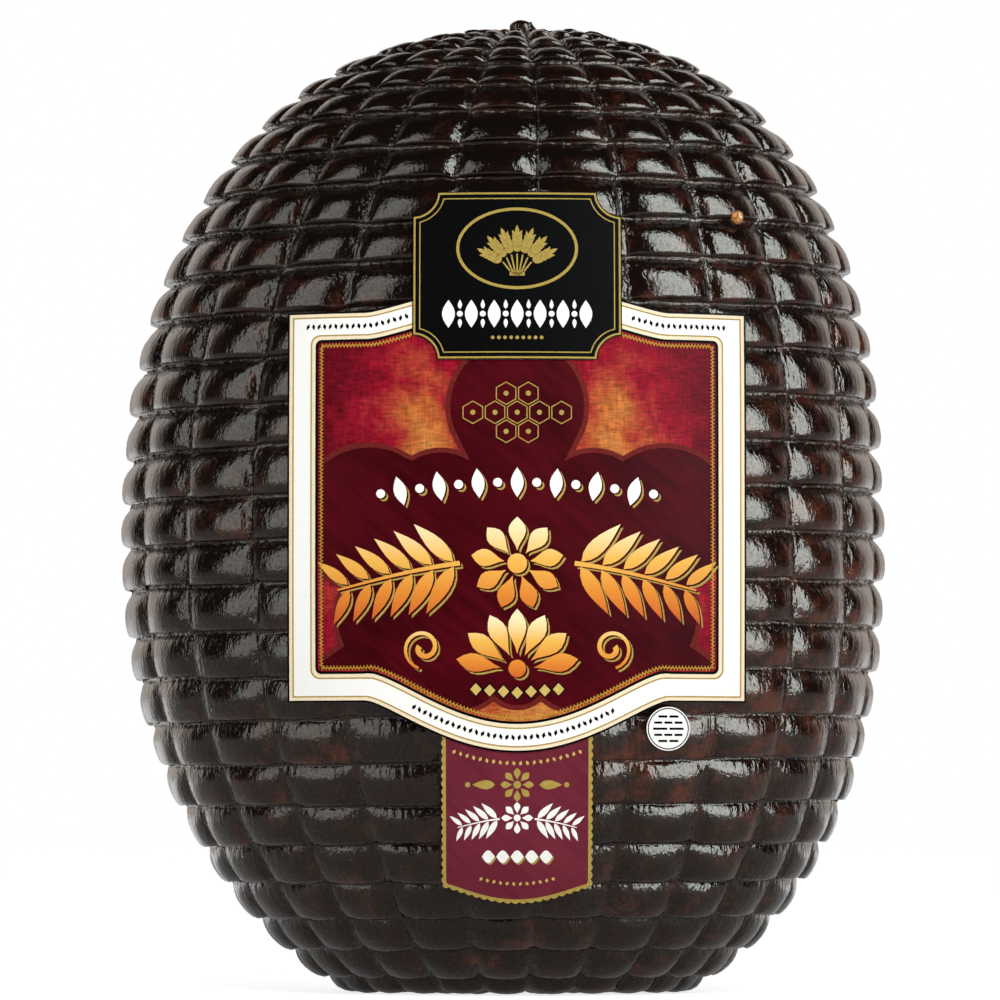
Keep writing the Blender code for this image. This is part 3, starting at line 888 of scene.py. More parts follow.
def sugar_glaze():
    """Baked-on sugar glaze over smoked ham skin: a hard, near-black shine with rusty speckles
    where it is thin, drawn into fine upright streaks and puckered beside the grooves. A reddish
    glow is painted in on the right side as painted light, and the folds are painted pale as a
    painted highlight."""
    material, tree, shader, place = surface("sugar_glaze", "0e0806", 0.12, 1.5)
    shader.inputs["Specular Tint"].default_value = color("f6e6da")
    parts = add(tree, "ShaderNodeSeparateXYZ", place).outputs
    height = parts["Z"]
    sideways = parts["X"]
    crown, chance, row, column, fold = (
        add(tree, "ShaderNodeAttribute", attribute_name=label).outputs["Fac"]
        for label in ("crown", "chance", "row", "column", "fold"))

    # Rust shows in ragged patches of 3 to 8 mm, low and to the right on each pillow, broken up
    # by 1 mm speckles. Some pillows have more of it than others, and the top almost none. The
    # right side has most: that extra is painted light, a reddish glow painted where light falls
    # brightest on the right, not more rust.
    patches, speckle, regions = (
        add(tree, "ShaderNodeTexNoise", place, sockets={"Scale": scale, "Detail": detail})
        for scale, detail in ((150.0, 5.0), (800.0, 2.0), (14.0, 2.0)))
    down, across = (add(tree, "ShaderNodeMath", line, operation="FRACT") for line in (row, column))
    thin_and_painted_glow = patches
    for cause, weight in ((speckle, 0.4), (regions, 0.5), (chance, 0.12), (down, 0.10),
                          (across, 0.07)):
        thin_and_painted_glow = add(tree, "ShaderNodeMath", cause, weight, thin_and_painted_glow, operation="MULTIPLY_ADD")
    bare_top = add(tree, "ShaderNodeMapRange", height, 0.14, 0.25, 0.0, -0.10)
    thin_and_painted_glow = add(tree, "ShaderNodeMath", thin_and_painted_glow, bare_top, operation="ADD")
    # Painted light: the right side, and a band round the girth there, get more of the reddish glow.
    lit_right_side = add(tree, "ShaderNodeMapRange", sideways, 0.0, 0.08, -0.03, 0.12)
    above_base = add(tree, "ShaderNodeMapRange", height, 0.045, 0.09, 0.0, 1.0)
    thin_and_painted_glow = add(tree, "ShaderNodeMath", lit_right_side, above_base, thin_and_painted_glow, operation="MULTIPLY_ADD")
    from_girth = add(tree, "ShaderNodeMath", height, 0.095, operation="SUBTRACT")
    from_girth = add(tree, "ShaderNodeMath", from_girth, operation="ABSOLUTE")
    girth = add(tree, "ShaderNodeMapRange", from_girth, 0.015, 0.045, 1.0, 0.0)
    girth = add(tree, "ShaderNodeMath", girth, lit_right_side, operation="MULTIPLY")
    thin_and_painted_glow = add(tree, "ShaderNodeMath", girth, 1.1, thin_and_painted_glow, operation="MULTIPLY_ADD")
    bare_base = add(tree, "ShaderNodeMapRange", height, 0.02, 0.075, -0.07, 0.0)
    thin_and_painted_glow = add(tree, "ShaderNodeMath", thin_and_painted_glow, bare_base, operation="ADD")
    rust_and_painted_glow = add(tree, "ShaderNodeMapRange", thin_and_painted_glow, 1.00, 1.44, 0.0, 1.0)
    ramp = add(tree, "ShaderNodeValToRGB", rust_and_painted_glow)
    ramp.color_ramp.elements[0].color = color("120c0a")
    ramp.color_ramp.elements[1].color = color("522717")
    ramp.color_ramp.elements.new(0.3).color = color("1a0d09")
    ramp.color_ramp.elements.new(0.65).color = color("341b13")
    # The folds are painted pale as a painted highlight, where light catches them, most of all on the
    # right and above.
    painted_fold_highlight = add(tree, "ShaderNodeMapRange", sideways, -0.07, 0.05, 0.15, 1.0)
    for share in (above_base, fold):
        painted_fold_highlight = add(tree, "ShaderNodeMath", share, painted_fold_highlight, operation="MULTIPLY")
    paler = add(tree, "ShaderNodeMix", painted_fold_highlight, data_type="RGBA",
                sockets={6: ramp, 7: color("9c8478")})
    tree.links.new(paler.outputs[2], shader.inputs["Base Color"])

    dull = add(tree, "ShaderNodeMapRange", patches, 0.35, 0.7, 0.06, 0.15)
    dull = add(tree, "ShaderNodeMath", fold, 0.5, dull, operation="MULTIPLY_ADD")
    tree.links.new(dull.outputs[0], shader.inputs["Roughness"])
    # A film of fat breaks up the shine.
    film = add(tree, "ShaderNodeTexNoise", place, sockets={"Scale": 1300.0, "Detail": 3.0})
    film = add(tree, "ShaderNodeMapRange", film, 0.32, 0.62, 0.34, 0.55)
    tree.links.new(film.outputs[0], shader.inputs["Specular IOR Level"])

    # Pits of about 0.8 mm, left by bubbles in the syrup.
    bubbles = add(tree, "ShaderNodeTexVoronoi", place, sockets={"Scale": 210.0})
    pits = add(tree, "ShaderNodeMapRange", bubbles, 0.03, 0.13, 0.0, 1.0)
    pitted = add(tree, "ShaderNodeBump", 0.6, 0.00012, sockets={"Height": pits})
    flank = add(tree, "ShaderNodeMapRange", crown, 0.2, 0.95, 1.0, 0.16)
    normal = wrinkled(tree, place, (0.0010, 7.0, 0.00010, 0.5), (0.0005, 1.0, 0.00013, 0.6),
                      (0.0032, 1.0, 0.0003, 0.4), (0.0012, 2.0, 0.0005, flank), start=pitted)
    tree.links.new(normal.outputs[0], shader.inputs["Normal"])
    return material


# ---------------------------------------------------------------- the ham

def make_bead():
    """A bead of syrup that has set in the corner of a pillow, high on the right."""
    bm = bmesh.new()
    bmesh.ops.create_icosphere(bm, subdivisions=3, radius=BEAD_RADIUS)
    middle = Vector(front_point(*BEAD_PLACE, BEAD_LIFT))
    for vert in bm.verts:
        lumps = noise.noise(vert.co * 900) + 0.5 * noise.noise(vert.co * 2600)
        vert.co = middle + vert.co * (1 + 0.16 * lumps)
    mesh = bpy.data.meshes.new("syrup_bead")
    bm.to_mesh(mesh)
    bm.free()
    mesh.shade_smooth()
    # Set syrup with seeds of sugar in it: amber, mottled at about 0.5 mm.
    material, tree, shader, place = surface("set_syrup", "b8733a", 0.3, 1.5)
    seeds = add(tree, "ShaderNodeTexNoise", place, sockets={"Scale": 1800.0, "Detail": 2.0})
    seeds = add(tree, "ShaderNodeMapRange", seeds, 0.35, 0.65, 0.0, 1.0)
    tones = add(tree, "ShaderNodeMix", seeds, data_type="RGBA",
                sockets={6: color("8a4f22"), 7: color("d99a58")})
    tree.links.new(tones.outputs[2], shader.inputs["Base Color"])
    mesh.materials.append(material)
    return placed("syrup_bead", mesh)


def make_ham():
    """The skin, and the folds along the net's rings and columns."""
    row, column, points = skin_lattice()
    ends = np.array([[belly(TOP), 0.0, TOP + KNOB_HEIGHT], [0.0, 0.0, 0.0]])
    mesh = closed_grid("ham_skin", points, ends)
    radius = np.hypot(points[..., 0] - belly(points[..., 2]), points[..., 1] / DEPTH_RATIO)
    pressed = BASE_PRESS * np.clip((row - ROWS + 1) * 2, 0.0, 1.0)
    pressed = np.maximum(pressed, LOW_PRESS * np.clip((row - ROWS / 2) / 5, 0.0, 1.0))
    moat = KNOB_MOAT * np.clip((radius - KNOB_RADIUS) / MOAT_RISE, 0.0, 1.0)
    moat = np.where(row < 0, moat, KNOB_MOAT + (1 - KNOB_MOAT) * np.clip(row, 0.0, 1.0))
    places = {
        "column": (column, [0.0, 0.0]),
        "row": (row, [-0.4, ROWS + 3.9]),
        "narrow": (np.clip(radius / NARROW_RADIUS, 0.0, 1.0), [0.0, 0.0]),
        "fullness": (moat * (1 - pressed), [0.0, 1 - BASE_PRESS]),
    }
    for name, (values, at_ends) in places.items():
        layer = mesh.attributes.new(name, "FLOAT", "POINT")
        layer.data.foreach_set("value", np.concatenate([values.ravel(), at_ends]).astype(np.float32))
    glaze = sugar_glaze()
    skin = grow("ham_skin", mesh, quilting_tree(), {
        "Depth": GROOVE_DEPTH, "Column Share": 0.42, "Notch Share": 0.25, "Sag": 0.69,
        "Undercut": 0.25, "Unevenness": 0.12, "Crinkle": 0.0011,
        "Lump Depth": 0.0006, "Lump Size": 0.012, "Ring Fold": 0.0004, "Column Fold": 0.0003,
        "Fold Change": 60.0, "Seed": 4.0, "Material": glaze})
    marks = groove_marks_tree()
    # The ring puckers are painted pale as highlight dashes along the rings, the column puckers only a
    # little: painted highlights.
    ring_puckers = grow("ring_puckers", skin.data.copy(), marks, {
        "Line": "row", "Spacing": 0.0012, "Length": 0.0020, "Width": 0.0006, "Thickness": 0.0005,
        "Lift": 0.0, "Aside": 0.0, "Stray": 0.00012, "Twist": 0.3, "First Row": 0.9,
        "Last Row": ROWS - 0.5, "Share": 0.40, "Highlight Paleness": 0.8, "Seed": 3, "Material": glaze})
    column_puckers = grow("column_puckers", skin.data.copy(), marks, {
        "Line": "column", "Spacing": 0.0014, "Length": 0.0012, "Width": 0.0020,
        "Thickness": 0.0007, "Lift": 0.0001, "Aside": 0.0, "Stray": 0.0006, "Twist": 1.5,
        "First Row": 0.9, "Last Row": 17.0, "Share": 0.45, "Highlight Paleness": 0.12, "Seed": 8,
        "Material": glaze})
    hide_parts("ham")
    for piece in (skin, ring_puckers, column_puckers, make_bead()):
        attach(piece, "root")


# ---------------------------------------------------------------- the labels

def printed_ink(name, tone, other, roughness=0.6):
    """Offset ink under matt varnish on a label: flat colour with a faint 0.5 mm grain."""
    material, tree, shader, place = surface(name, tone, roughness, specular=MATT)
    grain = add(tree, "ShaderNodeTexNoise", place, sockets={"Scale": GRAIN_SCALE, "Detail": 2.0})
    grain = add(tree, "ShaderNodeMapRange", grain, 0.35, 0.65, 0.0, 1.0)
    tones = add(tree, "ShaderNodeMix", grain, sockets={6: color(tone), 7: color(other)},
                data_type="RGBA")
    tree.links.new(tones.outputs[2], shader.inputs["Base Color"])
    fibres = add(tree, "ShaderNodeBump", 0.15, 0.00002, sockets={"Height": grain})
    tree.links.new(fibres.outputs[0], shader.inputs["Normal"])
    return material


def streaked(tree, place, turn, along, across, low, high):
    """Nodes for streaks of noise with a length and a width in metres, turned on the front."""
    laid = add(tree, "ShaderNodeMapping", place, None, (0.0, turn, 0.0),
               (2 * along, 1.0, 2 * across), vector_type="TEXTURE")
    streaks = add(tree, "ShaderNodeTexNoise", laid, sockets={"Scale": 1.0, "Detail": 2.0})
    return add(tree, "ShaderNodeMapRange", streaks, 0.3, 0.7, low, high)


def canvas_ink():
    """A print of dyed canvas: crimson that runs through orange, with the threads showing as
    streaks. The real threads would be 0.3 mm; they are drawn at about 0.7 mm to show."""
    material, tree, shader, place = surface("canvas_ink", "a01030", 0.5, specular=MATT)
    parts = add(tree, "ShaderNodeSeparateXYZ", place).outputs
    aside = add(tree, "ShaderNodeMath", parts["X"], operation="ABSOLUTE")
    # Orange glows out from two spots beside the foil's stem, and along the bottom.
    upward = add(tree, "ShaderNodeMath", parts["Z"], 0.6, operation="MULTIPLY")
    spot = add(tree, "ShaderNodeCombineXYZ", aside, 0.0, upward)
    away = add(tree, "ShaderNodeVectorMath", spot, (0.0245, 0.0, 0.0870), operation="DISTANCE")
    low = add(tree, "ShaderNodeMapRange", parts["Z"], 0.115, 0.215, 0.0, 0.3)
    low = add(tree, "ShaderNodeMath", aside, 0.3, low, operation="MULTIPLY_ADD")
    away = add(tree, "ShaderNodeMath", away.outputs["Value"], low, operation="MINIMUM")
    clouds = add(tree, "ShaderNodeTexNoise", place, sockets={"Scale": 100.0, "Detail": 6.0,
                                                             "Roughness": 0.6})
    away = add(tree, "ShaderNodeMath", clouds, 0.034, away, operation="MULTIPLY_ADD")
    deep = add(tree, "ShaderNodeMapRange", away, 0.012, 0.042, 0.0, 1.0)
    ramp = add(tree, "ShaderNodeValToRGB", deep)
    ramp.color_ramp.elements[0].position = 0.06
    ramp.color_ramp.elements[0].color = color("c88444")
    ramp.color_ramp.elements[1].color = color("600616")
    for share, code in ((0.3, "b0602e"), (0.48, "a0382a"), (0.66, "8c1024")):
        ramp.color_ramp.elements.new(share).color = color(code)
    weft = streaked(tree, place, 0.0, 0.0014, 0.0003, 0.66, 1.34)
    warp = streaked(tree, place, 0.0, 0.0003, 0.0020, 0.78, 1.20)
    threads = add(tree, "ShaderNodeMath", weft, warp, operation="MULTIPLY")
    dyed = add(tree, "ShaderNodeVectorMath", ramp, operation="SCALE", sockets={"Scale": threads})
    tree.links.new(dyed.outputs[0], shader.inputs["Base Color"])
    return material


def brushed_ink(name, tone, other):
    """A print of brushed velvet: one dark colour, with faint slanting strokes in it."""
    material, tree, shader, place = surface(name, tone, 0.5, specular=MATT)
    strokes = streaked(tree, place, 0.7, 0.0080, 0.0012, 0.0, 1.0)
    clouds = add(tree, "ShaderNodeTexNoise", place, sockets={"Scale": 40.0, "Detail": 2.0})
    share = add(tree, "ShaderNodeMath", strokes, 0.4, clouds, operation="MULTIPLY_ADD")
    share = add(tree, "ShaderNodeMapRange", share, 0.45, 0.95, 0.0, 1.0)
    tones = add(tree, "ShaderNodeMix", share, sockets={6: color(tone), 7: color(other)},
                data_type="RGBA")
    tree.links.new(tones.outputs[2], shader.inputs["Base Color"])
    return material


def honey_ink(name, low, high):
    """Gilt ink that runs from pale honey above to burnt orange below, as if lit from above."""
    material, tree, shader, place = surface(name, "e8a848", 0.5, specular=MATT)
    height = add(tree, "ShaderNodeSeparateXYZ", place).outputs["Z"]
    grain = add(tree, "ShaderNodeTexNoise", place, sockets={"Scale": GRAIN_SCALE, "Detail": 2.0})
    share = add(tree, "ShaderNodeMapRange", height, low, high, 0.0, 1.0)
    share = add(tree, "ShaderNodeMath", grain, 0.08, share, operation="MULTIPLY_ADD")
    ramp = add(tree, "ShaderNodeValToRGB", share)
    ramp.color_ramp.elements[0].position = 0.08
    ramp.color_ramp.elements[0].color = color("c65c26")
    ramp.color_ramp.elements[1].color = color("f9e2b0")
    for place_up, code in ((0.36, "dc8834"), (0.68, "eab454")):
        ramp.color_ramp.elements.new(place_up).color = color(code)
    tree.links.new(ramp.outputs[0], shader.inputs["Base Color"])
    return material


def wheat_sheaf(x, z, stalks, length, grain):
    """Ears of wheat fanned out above a tie."""
    shapes = []
    for place in range(stalks):
        turn = math.pi / 2 + (place - (stalks - 1) / 2) * 0.36
        way = (math.cos(turn), math.sin(turn))
        foot = (x + 0.0006 * (stalks // 2 - place), z - 0.0005)
        half = (x + 0.45 * length * way[0], z + 0.45 * length * way[1])
        shapes.append([stroke([foot, half], 0.0004, 0.0004)])
        shapes.append([leaf(x - 0.2 * length * way[0], z - 0.2 * length * abs(way[1]),
                            0.16 * length, 0.0006, turn)])
        for step in range(4):
            along = length * (0.5 + 0.13 * step)
            seat = (x + along * way[0], z + along * way[1])
            for lean in (-0.55, 0.55):
                shapes.append([leaf(*seat, grain, 0.42 * grain, turn + lean)])
        tip = (x + length * way[0], z + length * way[1])
        shapes.append([leaf(*tip, grain, 0.42 * grain, turn)])
    shapes.append([stroke([(x - 0.002, z - 0.0012), (x + 0.002, z - 0.0012)], 0.0009, 0.0009)])
    return shapes


def scroll(x, z, radius, turn, side):
    """A line that curls in on itself."""
    route = []
    for share in np.linspace(0, 1, 30):
        angle = turn + side * share * 8.0
        reach = radius * (1 - 0.80 * share)
        route.append((x + reach * math.cos(angle), z + reach * math.sin(angle)))
    return [stroke(route, 0.0007, 0.0015)]


def make_main_label(inks, marks):
    """The main label: a framed field of canvas and velvet with gilt leaves."""
    def border(inset, corner=0.0):
        return framed(main_edges, MAIN_HALF_WIDTH, inset, corner)

    def frame_line(start, end, start_corner=0.0, end_corner=0.0):
        return [border(start, start_corner), border(end, end_corner)]

    def fence(x, z):
        half = MAIN_HALF_WIDTH - FOIL_INSET
        x = max(-half, min(half, x))
        low, high = (edge_at(main_edges, side, x, FOIL_INSET) for side in (0, 1))
        return x, max(low, min(high, z))

    sides = (-1, 1)
    lobes = [(0.0, 0.112, 0.029), (0.0, 0.1550, 0.0175), (0.0, 0.0850, 0.0080)]
    for x, z, radius in ((0.0200, 0.1290, 0.0140), (0.0390, 0.1260, 0.0185),
                         (0.0310, 0.1000, 0.0160), (0.0450, 0.0830, 0.0085),
                         (0.0290, 0.0890, 0.0110), (0.0150, 0.0880, 0.0120)):
        lobes += [(side * x, z, radius) for side in sides]
    wider = [(x, z, radius + 0.0013) for x, z, radius in lobes]

    comb = [(0.0058 * place, 0.0050 * row)
            for row, places in ((-1, (-0.5, 0.5)), (0, range(-2, 3)), (1, (-0.5, 0.5)))
            for place in places]
    cells = []
    for x, z in comb:
        outer, inner = (moved(disc(0, 0, radius, 6), x, 0.1535 + z, math.pi / 6)
                        for radius in (0.0031, 0.0028))
        cells += [[outer, inner], [disc(x, 0.1535 + z, 0.0007, 8)]]

    seeds = []
    for place in range(-7, 8):
        x = place * 0.0051
        z = 0.1310 + 0.0042 * math.cos(place / 7 * 1.25)
        turn = math.pi / 2 - place * 0.045
        if place % 2:
            seeds.append([disc(x, z, 0.0012, 12)])
        else:
            seeds.append([leaf(x - 0.0039 * math.cos(turn), z - 0.0039 * math.sin(turn),
                               0.0078, 0.0034, turn, fullness=1.0)])
    garlands = garland(0.0, 0.1070, 0.0480, 0.0080, 0.0145, 0.0042, 6, 0.0150)
    garlands += rosette(0.0, 0.1140, 9, 0.0088, 0.0046, 0.0026)
    fan = rays(0.0, 0.0860, [math.pi / 2 - 0.46 * place for place in range(-3, 4)],
               0.0044, 0.0118, 0.0048)
    fan.append([disc(0.0, 0.0866, 0.0023)])
    for side in sides:
        fan.append(scroll(side * 0.0245, 0.0920, 0.0054, math.pi / 2 - side * 2.9, side))
    gilt = garlands + fan
    beads = [(0.0036 * place, 0.0803 + 0.0003 * abs(place)) for place in range(-3, 4)]

    piece = printed_label("main_label_print", 1, border(0.0), inks["paper"], [
        (1, inks["black"], [frame_line(0.0, 0.0005), frame_line(0.0074, 0.0081, 0.0016, 0.0011)]),
        (1, inks["cream"], [frame_line(0.0005, 0.0013), frame_line(0.0065, 0.0074, 0.0022, 0.0016)]),
        (1, inks["gold"], [frame_line(0.0013, 0.0017), frame_line(0.0061, 0.0065, 0.0025, 0.0022)]),
        (1, inks["canvas"], [[border(0.0081, 0.0011)]]),
        (2, inks["rosewood"], [[foil_outline(0.0, 0.118, wider, fence)]]),
        (3, inks["velvet"], [[foil_outline(0.0, 0.118, lobes, fence)]]),
        (4, inks["gold"], cells + shifted(gilt + seeds, 2 * SHADOW, -2 * SHADOW)),
        (4, inks["black"], [[disc(x, z, 0.0020, 4, 0.0021)] for x, z in beads]),
        (5, inks["velvet"], shifted(gilt + seeds, SHADOW, -SHADOW)),
        (5, inks["pale_gold"], [[disc(x, z, 0.0015, 4, 0.0016)] for x, z in beads]),
        (6, inks["honey"], garlands),
        (6, inks["low_honey"], fan),
        (6, inks["white"], seeds)])
    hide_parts("main_label")

    stitching = printed_marks(
        "main_label_stitching", marks, 1, border(STITCH_INSET, 0.0006), True,
        spacing=0.00048, sides=4, length=0.0017, width=0.00036, sway=1.05, material=inks["thread"])
    pieces = [piece, stitching]
    for place, (side, first, last) in enumerate(((1, -0.0550, -0.0285), (1, 0.0305, 0.0550),
                                                 (0, -0.0270, 0.0260))):
        route = [(x, edge_at(main_edges, side, x, BORDER_MIDDLE))
                 for x in np.arange(first, last, 0.002)]
        pieces.append(printed_marks(
            f"main_label_border_marks_{place + 1}", marks, 1, route, False, spacing=0.0016, sides=4,
            length=0.0010, width=0.0018, sway=0.35, material=inks["black"]))
    return pieces


def make_plaque(inks):
    """The plaque: a sheaf in an oval above a row of white leaves."""
    fleurons = []
    for place in range(-6, 7):
        x = place * 0.0030
        if place % 2:
            fleurons.append([disc(x, 0.1795, 0.0008, 10)])
            fleurons.append([leaf(x, 0.1808, 0.0025, 0.0011, math.pi / 2)])
            fleurons.append([leaf(x, 0.1782, 0.0025, 0.0011, -math.pi / 2)])
        else:
            fleurons.append([leaf(x, 0.1758, 0.0074, 0.0034, math.pi / 2, fullness=1.0)])
    piece = printed_label("plaque_print", 2, plaque_outline(0.0), inks["paper"], [
        (1, inks["black"], [[plaque_outline(0.0)]]),
        (2, inks["gold"], [
            [plaque_outline(0.0003), plaque_outline(0.0008)],
            [plaque_outline(0.0018), plaque_outline(0.0021)],
            [disc(0.0, 0.1970, 0.0160, 56, 0.0110), disc(0.0, 0.1970, 0.0152, 56, 0.0102)],
            *wheat_sheaf(0.0, 0.1913, 7, 0.0094, 0.0026),
            *[[disc(0.0016 * place, 0.1732, 0.0005, 8)] for place in range(-4, 5)]]),
        (2, inks["white"], fleurons)])
    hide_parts("plaque_label")
    return [piece]


def make_tail(inks, marks):
    """The tail: a scalloped gilt edge round claret, with small gilt and white ornament."""
    outline = scalloped(framed(tail_edges, TAIL_HALF_WIDTH, SCALLOP_DEPTH),
                        SCALLOP_PITCH, SCALLOP_DEPTH)
    panel = framed(tail_edges, TAIL_HALF_WIDTH, 0.0012, 0.0010)
    sprig = garland(0.0, 0.0450, 0.0160, 0.0026, 0.0058, 0.0017, 5, 0.0046)
    sprig += rosette(0.0, 0.0476, 8, 0.0030, 0.0017, 0.0009)
    flowers = rosette(0.0, 0.0563, 8, 0.0031, 0.0018, 0.0010)
    for side in (-1, 1):
        flowers += [[leaf(side * 0.0058, 0.0563, 0.0060, 0.0024, math.pi / 2 - side * 1.57)],
                    [disc(side * 0.0130, 0.0563, 0.0007, 10)]]
    bars = [[leaf(0.0038 * place - 0.0017, 0.0374, 0.0034, 0.0034, 0.0, fullness=1.0)]
            for place in range(-2, 3)]
    piece = printed_label("tail_print", 0, outline, inks["paper"], [
        (1, inks["gold"], [[outline, panel]]),
        (1, inks["claret"], [[panel]]),
        (3, inks["gold"], flowers + shifted(bars, SHADOW, -SHADOW)),
        (4, inks["white"], sprig + bars)])
    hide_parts("tail_label")
    pieces = [piece]
    high = [(x, main_edges(x)[0] - 0.0028) for x in np.arange(-0.0165, 0.0166, 0.0015)]
    low = [(x, 0.0334 - 0.0032 * ogee(x, 0.0165)) for x in np.arange(-0.0095, 0.0096, 0.0010)]
    for name, route in (("tail_upper_marks", high), ("tail_lower_marks", low)):
        pieces.append(printed_marks(name, marks, 0, route, False, spacing=0.0017, sides=4,
                                    length=0.0009, width=0.0014, sway=0.3,
                                    material=inks["pale_gold"]))
    return pieces


def make_seal(inks):
    """The round seal: a black ring, and rows of short bars."""
    bars = []
    for row in range(-2, 3):
        half = math.sqrt((SEAL_RADIUS - 0.0014) ** 2 - (row * 0.0016) ** 2)
        edges = np.linspace(-half, half, 4 if row % 2 else 3)
        for first, last in zip(edges, edges[1:]):
            z = SEAL_HEIGHT + row * 0.0016
            bars.append([stroke([(SEAL_X + first + 0.0003, z), (SEAL_X + last - 0.0003, z)],
                                0.0006, 0.0006)])
    piece = printed_label("seal_print", 0, disc(SEAL_X, SEAL_HEIGHT, SEAL_RADIUS, 48),
                          inks["paper"], [
        (1, inks["black"], [[disc(SEAL_X, SEAL_HEIGHT, SEAL_RADIUS - 0.0003, 48),
                             disc(SEAL_X, SEAL_HEIGHT, SEAL_RADIUS - 0.0006, 48)], *bars])])
    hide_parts("round_seal")
    return [piece]


def make_labels():
    """The four labels."""
    inks = {
        "paper": printed_ink("matt_label_paper", "f9f8f5", "f6f5f1", 0.6),
        "white": printed_ink("white_ink", "f8f7f2", "f0eee8"),
        "black": printed_ink("black_ink", "030303", "070606"),
        "cream": printed_ink("cream_ink", "f3e3c8", "eedbba"),
        "gold": printed_ink("gold_ink", "b09a50", "a48c44"),
        "pale_gold": printed_ink("pale_gold_ink", "cdb468", "c2a658"),
        "thread": printed_ink("thread_gold_ink", "c8983e", "b07c2e"),
        "rosewood": printed_ink("rosewood_ink", "6e2420", "5c1a18"),
        "velvet": brushed_ink("velvet_ink", "340106", "4c0510"),
        "claret": brushed_ink("claret_ink", "642230", "722b38"),
        "canvas": canvas_ink(),
        "honey": honey_ink("honey_ink", 0.098, 0.125),
        "low_honey": honey_ink("low_honey_ink", 0.083, 0.100),
    }
    marks = printed_marks_tree()
    for slot, pieces in (("main_film", make_main_label(inks, marks)),
                         ("plaque_film", make_plaque(inks)),
                         ("tail_film", make_tail(inks, marks)), ("seal_film", make_seal(inks))):
        for piece in pieces:
            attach(piece, "root")


# ---------------------------------------------------------------- the studio

def softbox(name, turn, distance, low, high, width, radiance, tint="ffffff", gloss=True):
    """An upright softbox, by its angle from straight ahead. The camera doesn't see it: either
    the gloss does, as a sharp reflection, or the matt surfaces do, as soft light."""
    data = bpy.data.lights.new(name, "AREA")
    data.shape = "RECTANGLE"
    data.size = width
    data.size_y = high - low
    data.energy = math.pi * radiance * width * (high - low)
    data.color = color(tint)[:3]
    lamp = placed(name, data)
    angle = math.radians(turn)
    lamp.location = (distance * math.sin(angle), -distance * math.cos(angle), (low + high) / 2)
    lamp.rotation_euler = (math.pi / 2, 0.0, angle)
    lamp.visible_camera = False
    lamp.visible_glossy = gloss
    lamp.visible_diffuse = not gloss


def backdrop_level(tree, toward):
    """Nodes for how bright the backdrop is in this direction from the ham: bright behind it
    and dark in front."""
    parts = add(tree, "ShaderNodeSeparateXYZ", toward).outputs
    behind = add(tree, "ShaderNodeMapRange", parts["Y"], 0.38, 0.8, 0.03, 1.25,
                 interpolation_type="SMOOTHSTEP")
    farthest = add(tree, "ShaderNodeMapRange", parts["Y"], 0.8, 1.0, 1.0, 0.4)
    side = add(tree, "ShaderNodeMapRange", parts["X"], -0.5, 0.3, 1.1, 1.0)
    right_end = add(tree, "ShaderNodeMapRange", parts["X"], 0.70, 0.95, 1.0, 0.45)
    level = behind
    for share in (farthest, right_end, side):
        level = add(tree, "ShaderNodeMath", level, share, operation="MULTIPLY")
    return level


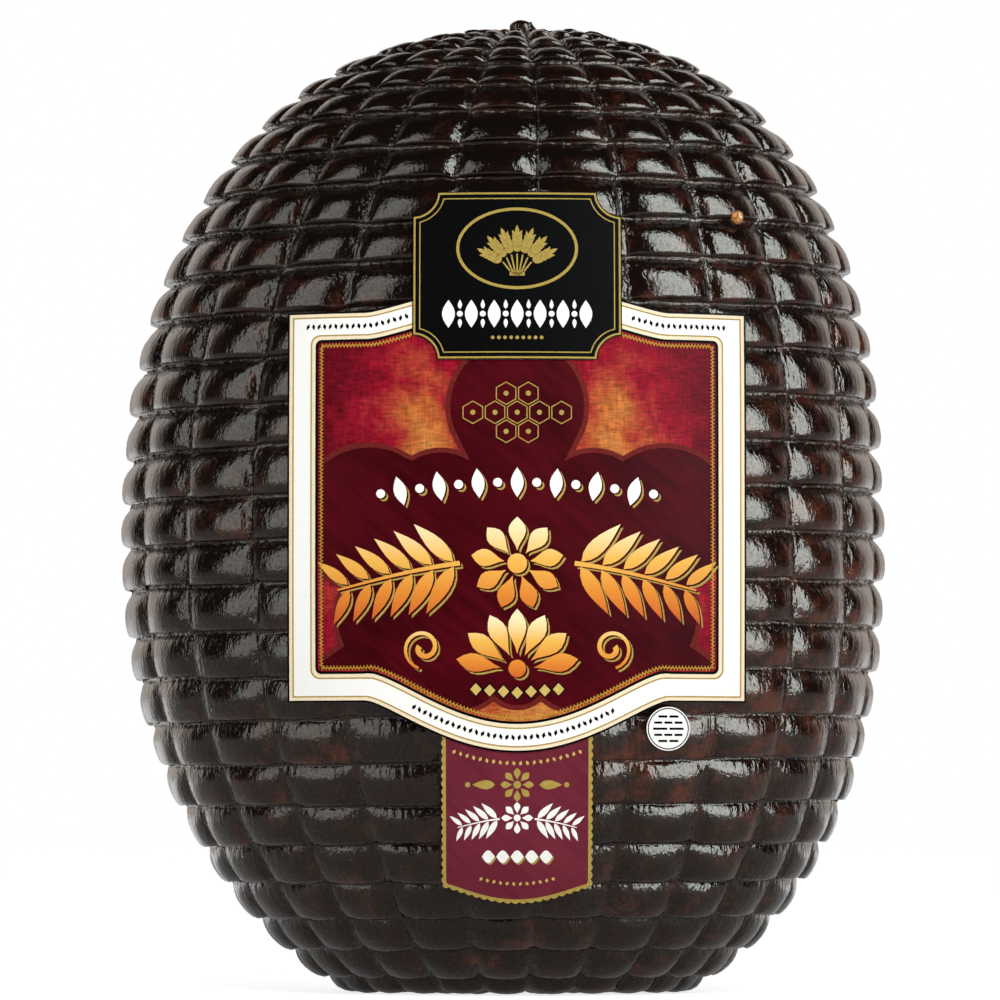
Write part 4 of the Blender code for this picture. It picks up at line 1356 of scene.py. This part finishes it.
def make_studio():
    """A pale floor and backdrop, two softboxes and a soft fill in front of the ham, and a
    dark room behind the camera."""
    scene = bpy.context.scene
    scene.view_settings.view_transform = "Standard"
    bpy.ops.mesh.primitive_circle_add(vertices=64, radius=FLOOR_RADIUS, fill_type="NGON")
    floor = bpy.context.object
    floor.name = "floor"
    # Backlit white acrylic: a pale sweep that glows a little, so that its far edge is lost.
    paint, tree, shader, spot = surface("backlit_white_acrylic", "dcdcda", 0.6, specular=0.1)
    shader.inputs["Emission Color"].default_value = (1.0, 1.0, 1.0, 1.0)
    away = add(tree, "ShaderNodeVectorMath", spot, operation="LENGTH").outputs["Value"]
    # Behind the ham it is as bright as the backdrop, except in the ham's own shade.
    toward = add(tree, "ShaderNodeVectorMath", spot, operation="NORMALIZE")
    open_floor = add(tree, "ShaderNodeMapRange", away, 0.10, 0.45, 0.0, 1.0)
    lit = add(tree, "ShaderNodeMath", backdrop_level(tree, toward), open_floor,
              operation="MULTIPLY")
    lit = add(tree, "ShaderNodeMath", lit, FLOOR_GLOW / 6, operation="MAXIMUM")
    seen = add(tree, "ShaderNodeLightPath").outputs["Is Camera Ray"]
    glow = add(tree, "ShaderNodeMix", seen, None, lit, FLOOR_GLOW, data_type="FLOAT")
    tree.links.new(glow.outputs[0], shader.inputs["Emission Strength"])
    # In front it runs off into the dark room: its colour is painted darker with distance, as painted
    # shade.
    ahead = add(tree, "ShaderNodeVectorMath", spot, (FLOOR_RADIUS, 0.0, FLOOR_RADIUS),
                operation="MINIMUM")
    away = add(tree, "ShaderNodeVectorMath", ahead, operation="LENGTH").outputs["Value"]
    dusk = add(tree, "ShaderNodeMapRange", away, 0.6, 4.0, 0.0, 1.0)
    tones = add(tree, "ShaderNodeMix", dusk, data_type="RGBA",
                sockets={6: color("dcdcda"), 7: color("484846")})
    tree.links.new(tones.outputs[2], shader.inputs["Base Color"])
    floor.data.materials.append(paint)

    softbox("right_softbox", 60, 1.2, 0.0, 2.3, 1.0, 12.0, "e8fbff")
    softbox("left_softbox", -60, 1.3, 0.0, 2.6, 1.1, 3.1, "f0fdff")
    softbox("front_fill", 8, 2.2, 0.3, 1.5, 1.2, 10.6, gloss=False)

    world = bpy.data.worlds.new("studio")
    scene.world = world
    world.use_nodes = True
    tree = world.node_tree
    back = tree.nodes["Background"]
    place = add(tree, "ShaderNodeTexCoord").outputs["Generated"]
    upward = add(tree, "ShaderNodeSeparateXYZ", place).outputs["Z"]
    overhead = add(tree, "ShaderNodeMapRange", upward, 0.42, 0.66, 1.0, 0.03,
                   interpolation_type="SMOOTHSTEP")
    room = add(tree, "ShaderNodeMath", backdrop_level(tree, place), overhead,
               operation="MULTIPLY")
    ray = add(tree, "ShaderNodeLightPath").outputs
    gloss = ray["Is Glossy Ray"]
    seen = ray["Is Camera Ray"]
    open_air = add(tree, "ShaderNodeMapRange", seen, 0.0, 1.0, 0.25, 1.0)
    level = add(tree, "ShaderNodeMix", gloss, None, open_air, room, data_type="FLOAT")
    tree.links.new(level.outputs[0], back.inputs["Strength"])
    warmth = add(tree, "ShaderNodeMix", gloss, data_type="RGBA",
                 sockets={6: (1.0, 1.0, 1.0, 1.0), 7: color("fff4ea")})
    tree.links.new(warmth.outputs[2], back.inputs["Color"])

    data = bpy.data.cameras.new("camera")
    data.sensor_width = 36.0
    data.lens = data.sensor_width * CAMERA_DISTANCE / FRAME_WIDTH
    data.clip_end = 40.0
    camera = placed("camera", data)
    aim_height = FRAME_WIDTH / 2 - FRAME_BELOW
    camera.location = (FRAME_SIDE, -CAMERA_DISTANCE, CAMERA_HEIGHT)
    camera.rotation_euler = (math.pi / 2 + math.atan2(aim_height - CAMERA_HEIGHT, CAMERA_DISTANCE),
                             0.0, 0.0)
    scene.camera = camera


make_studio()
make_ham()
make_labels()
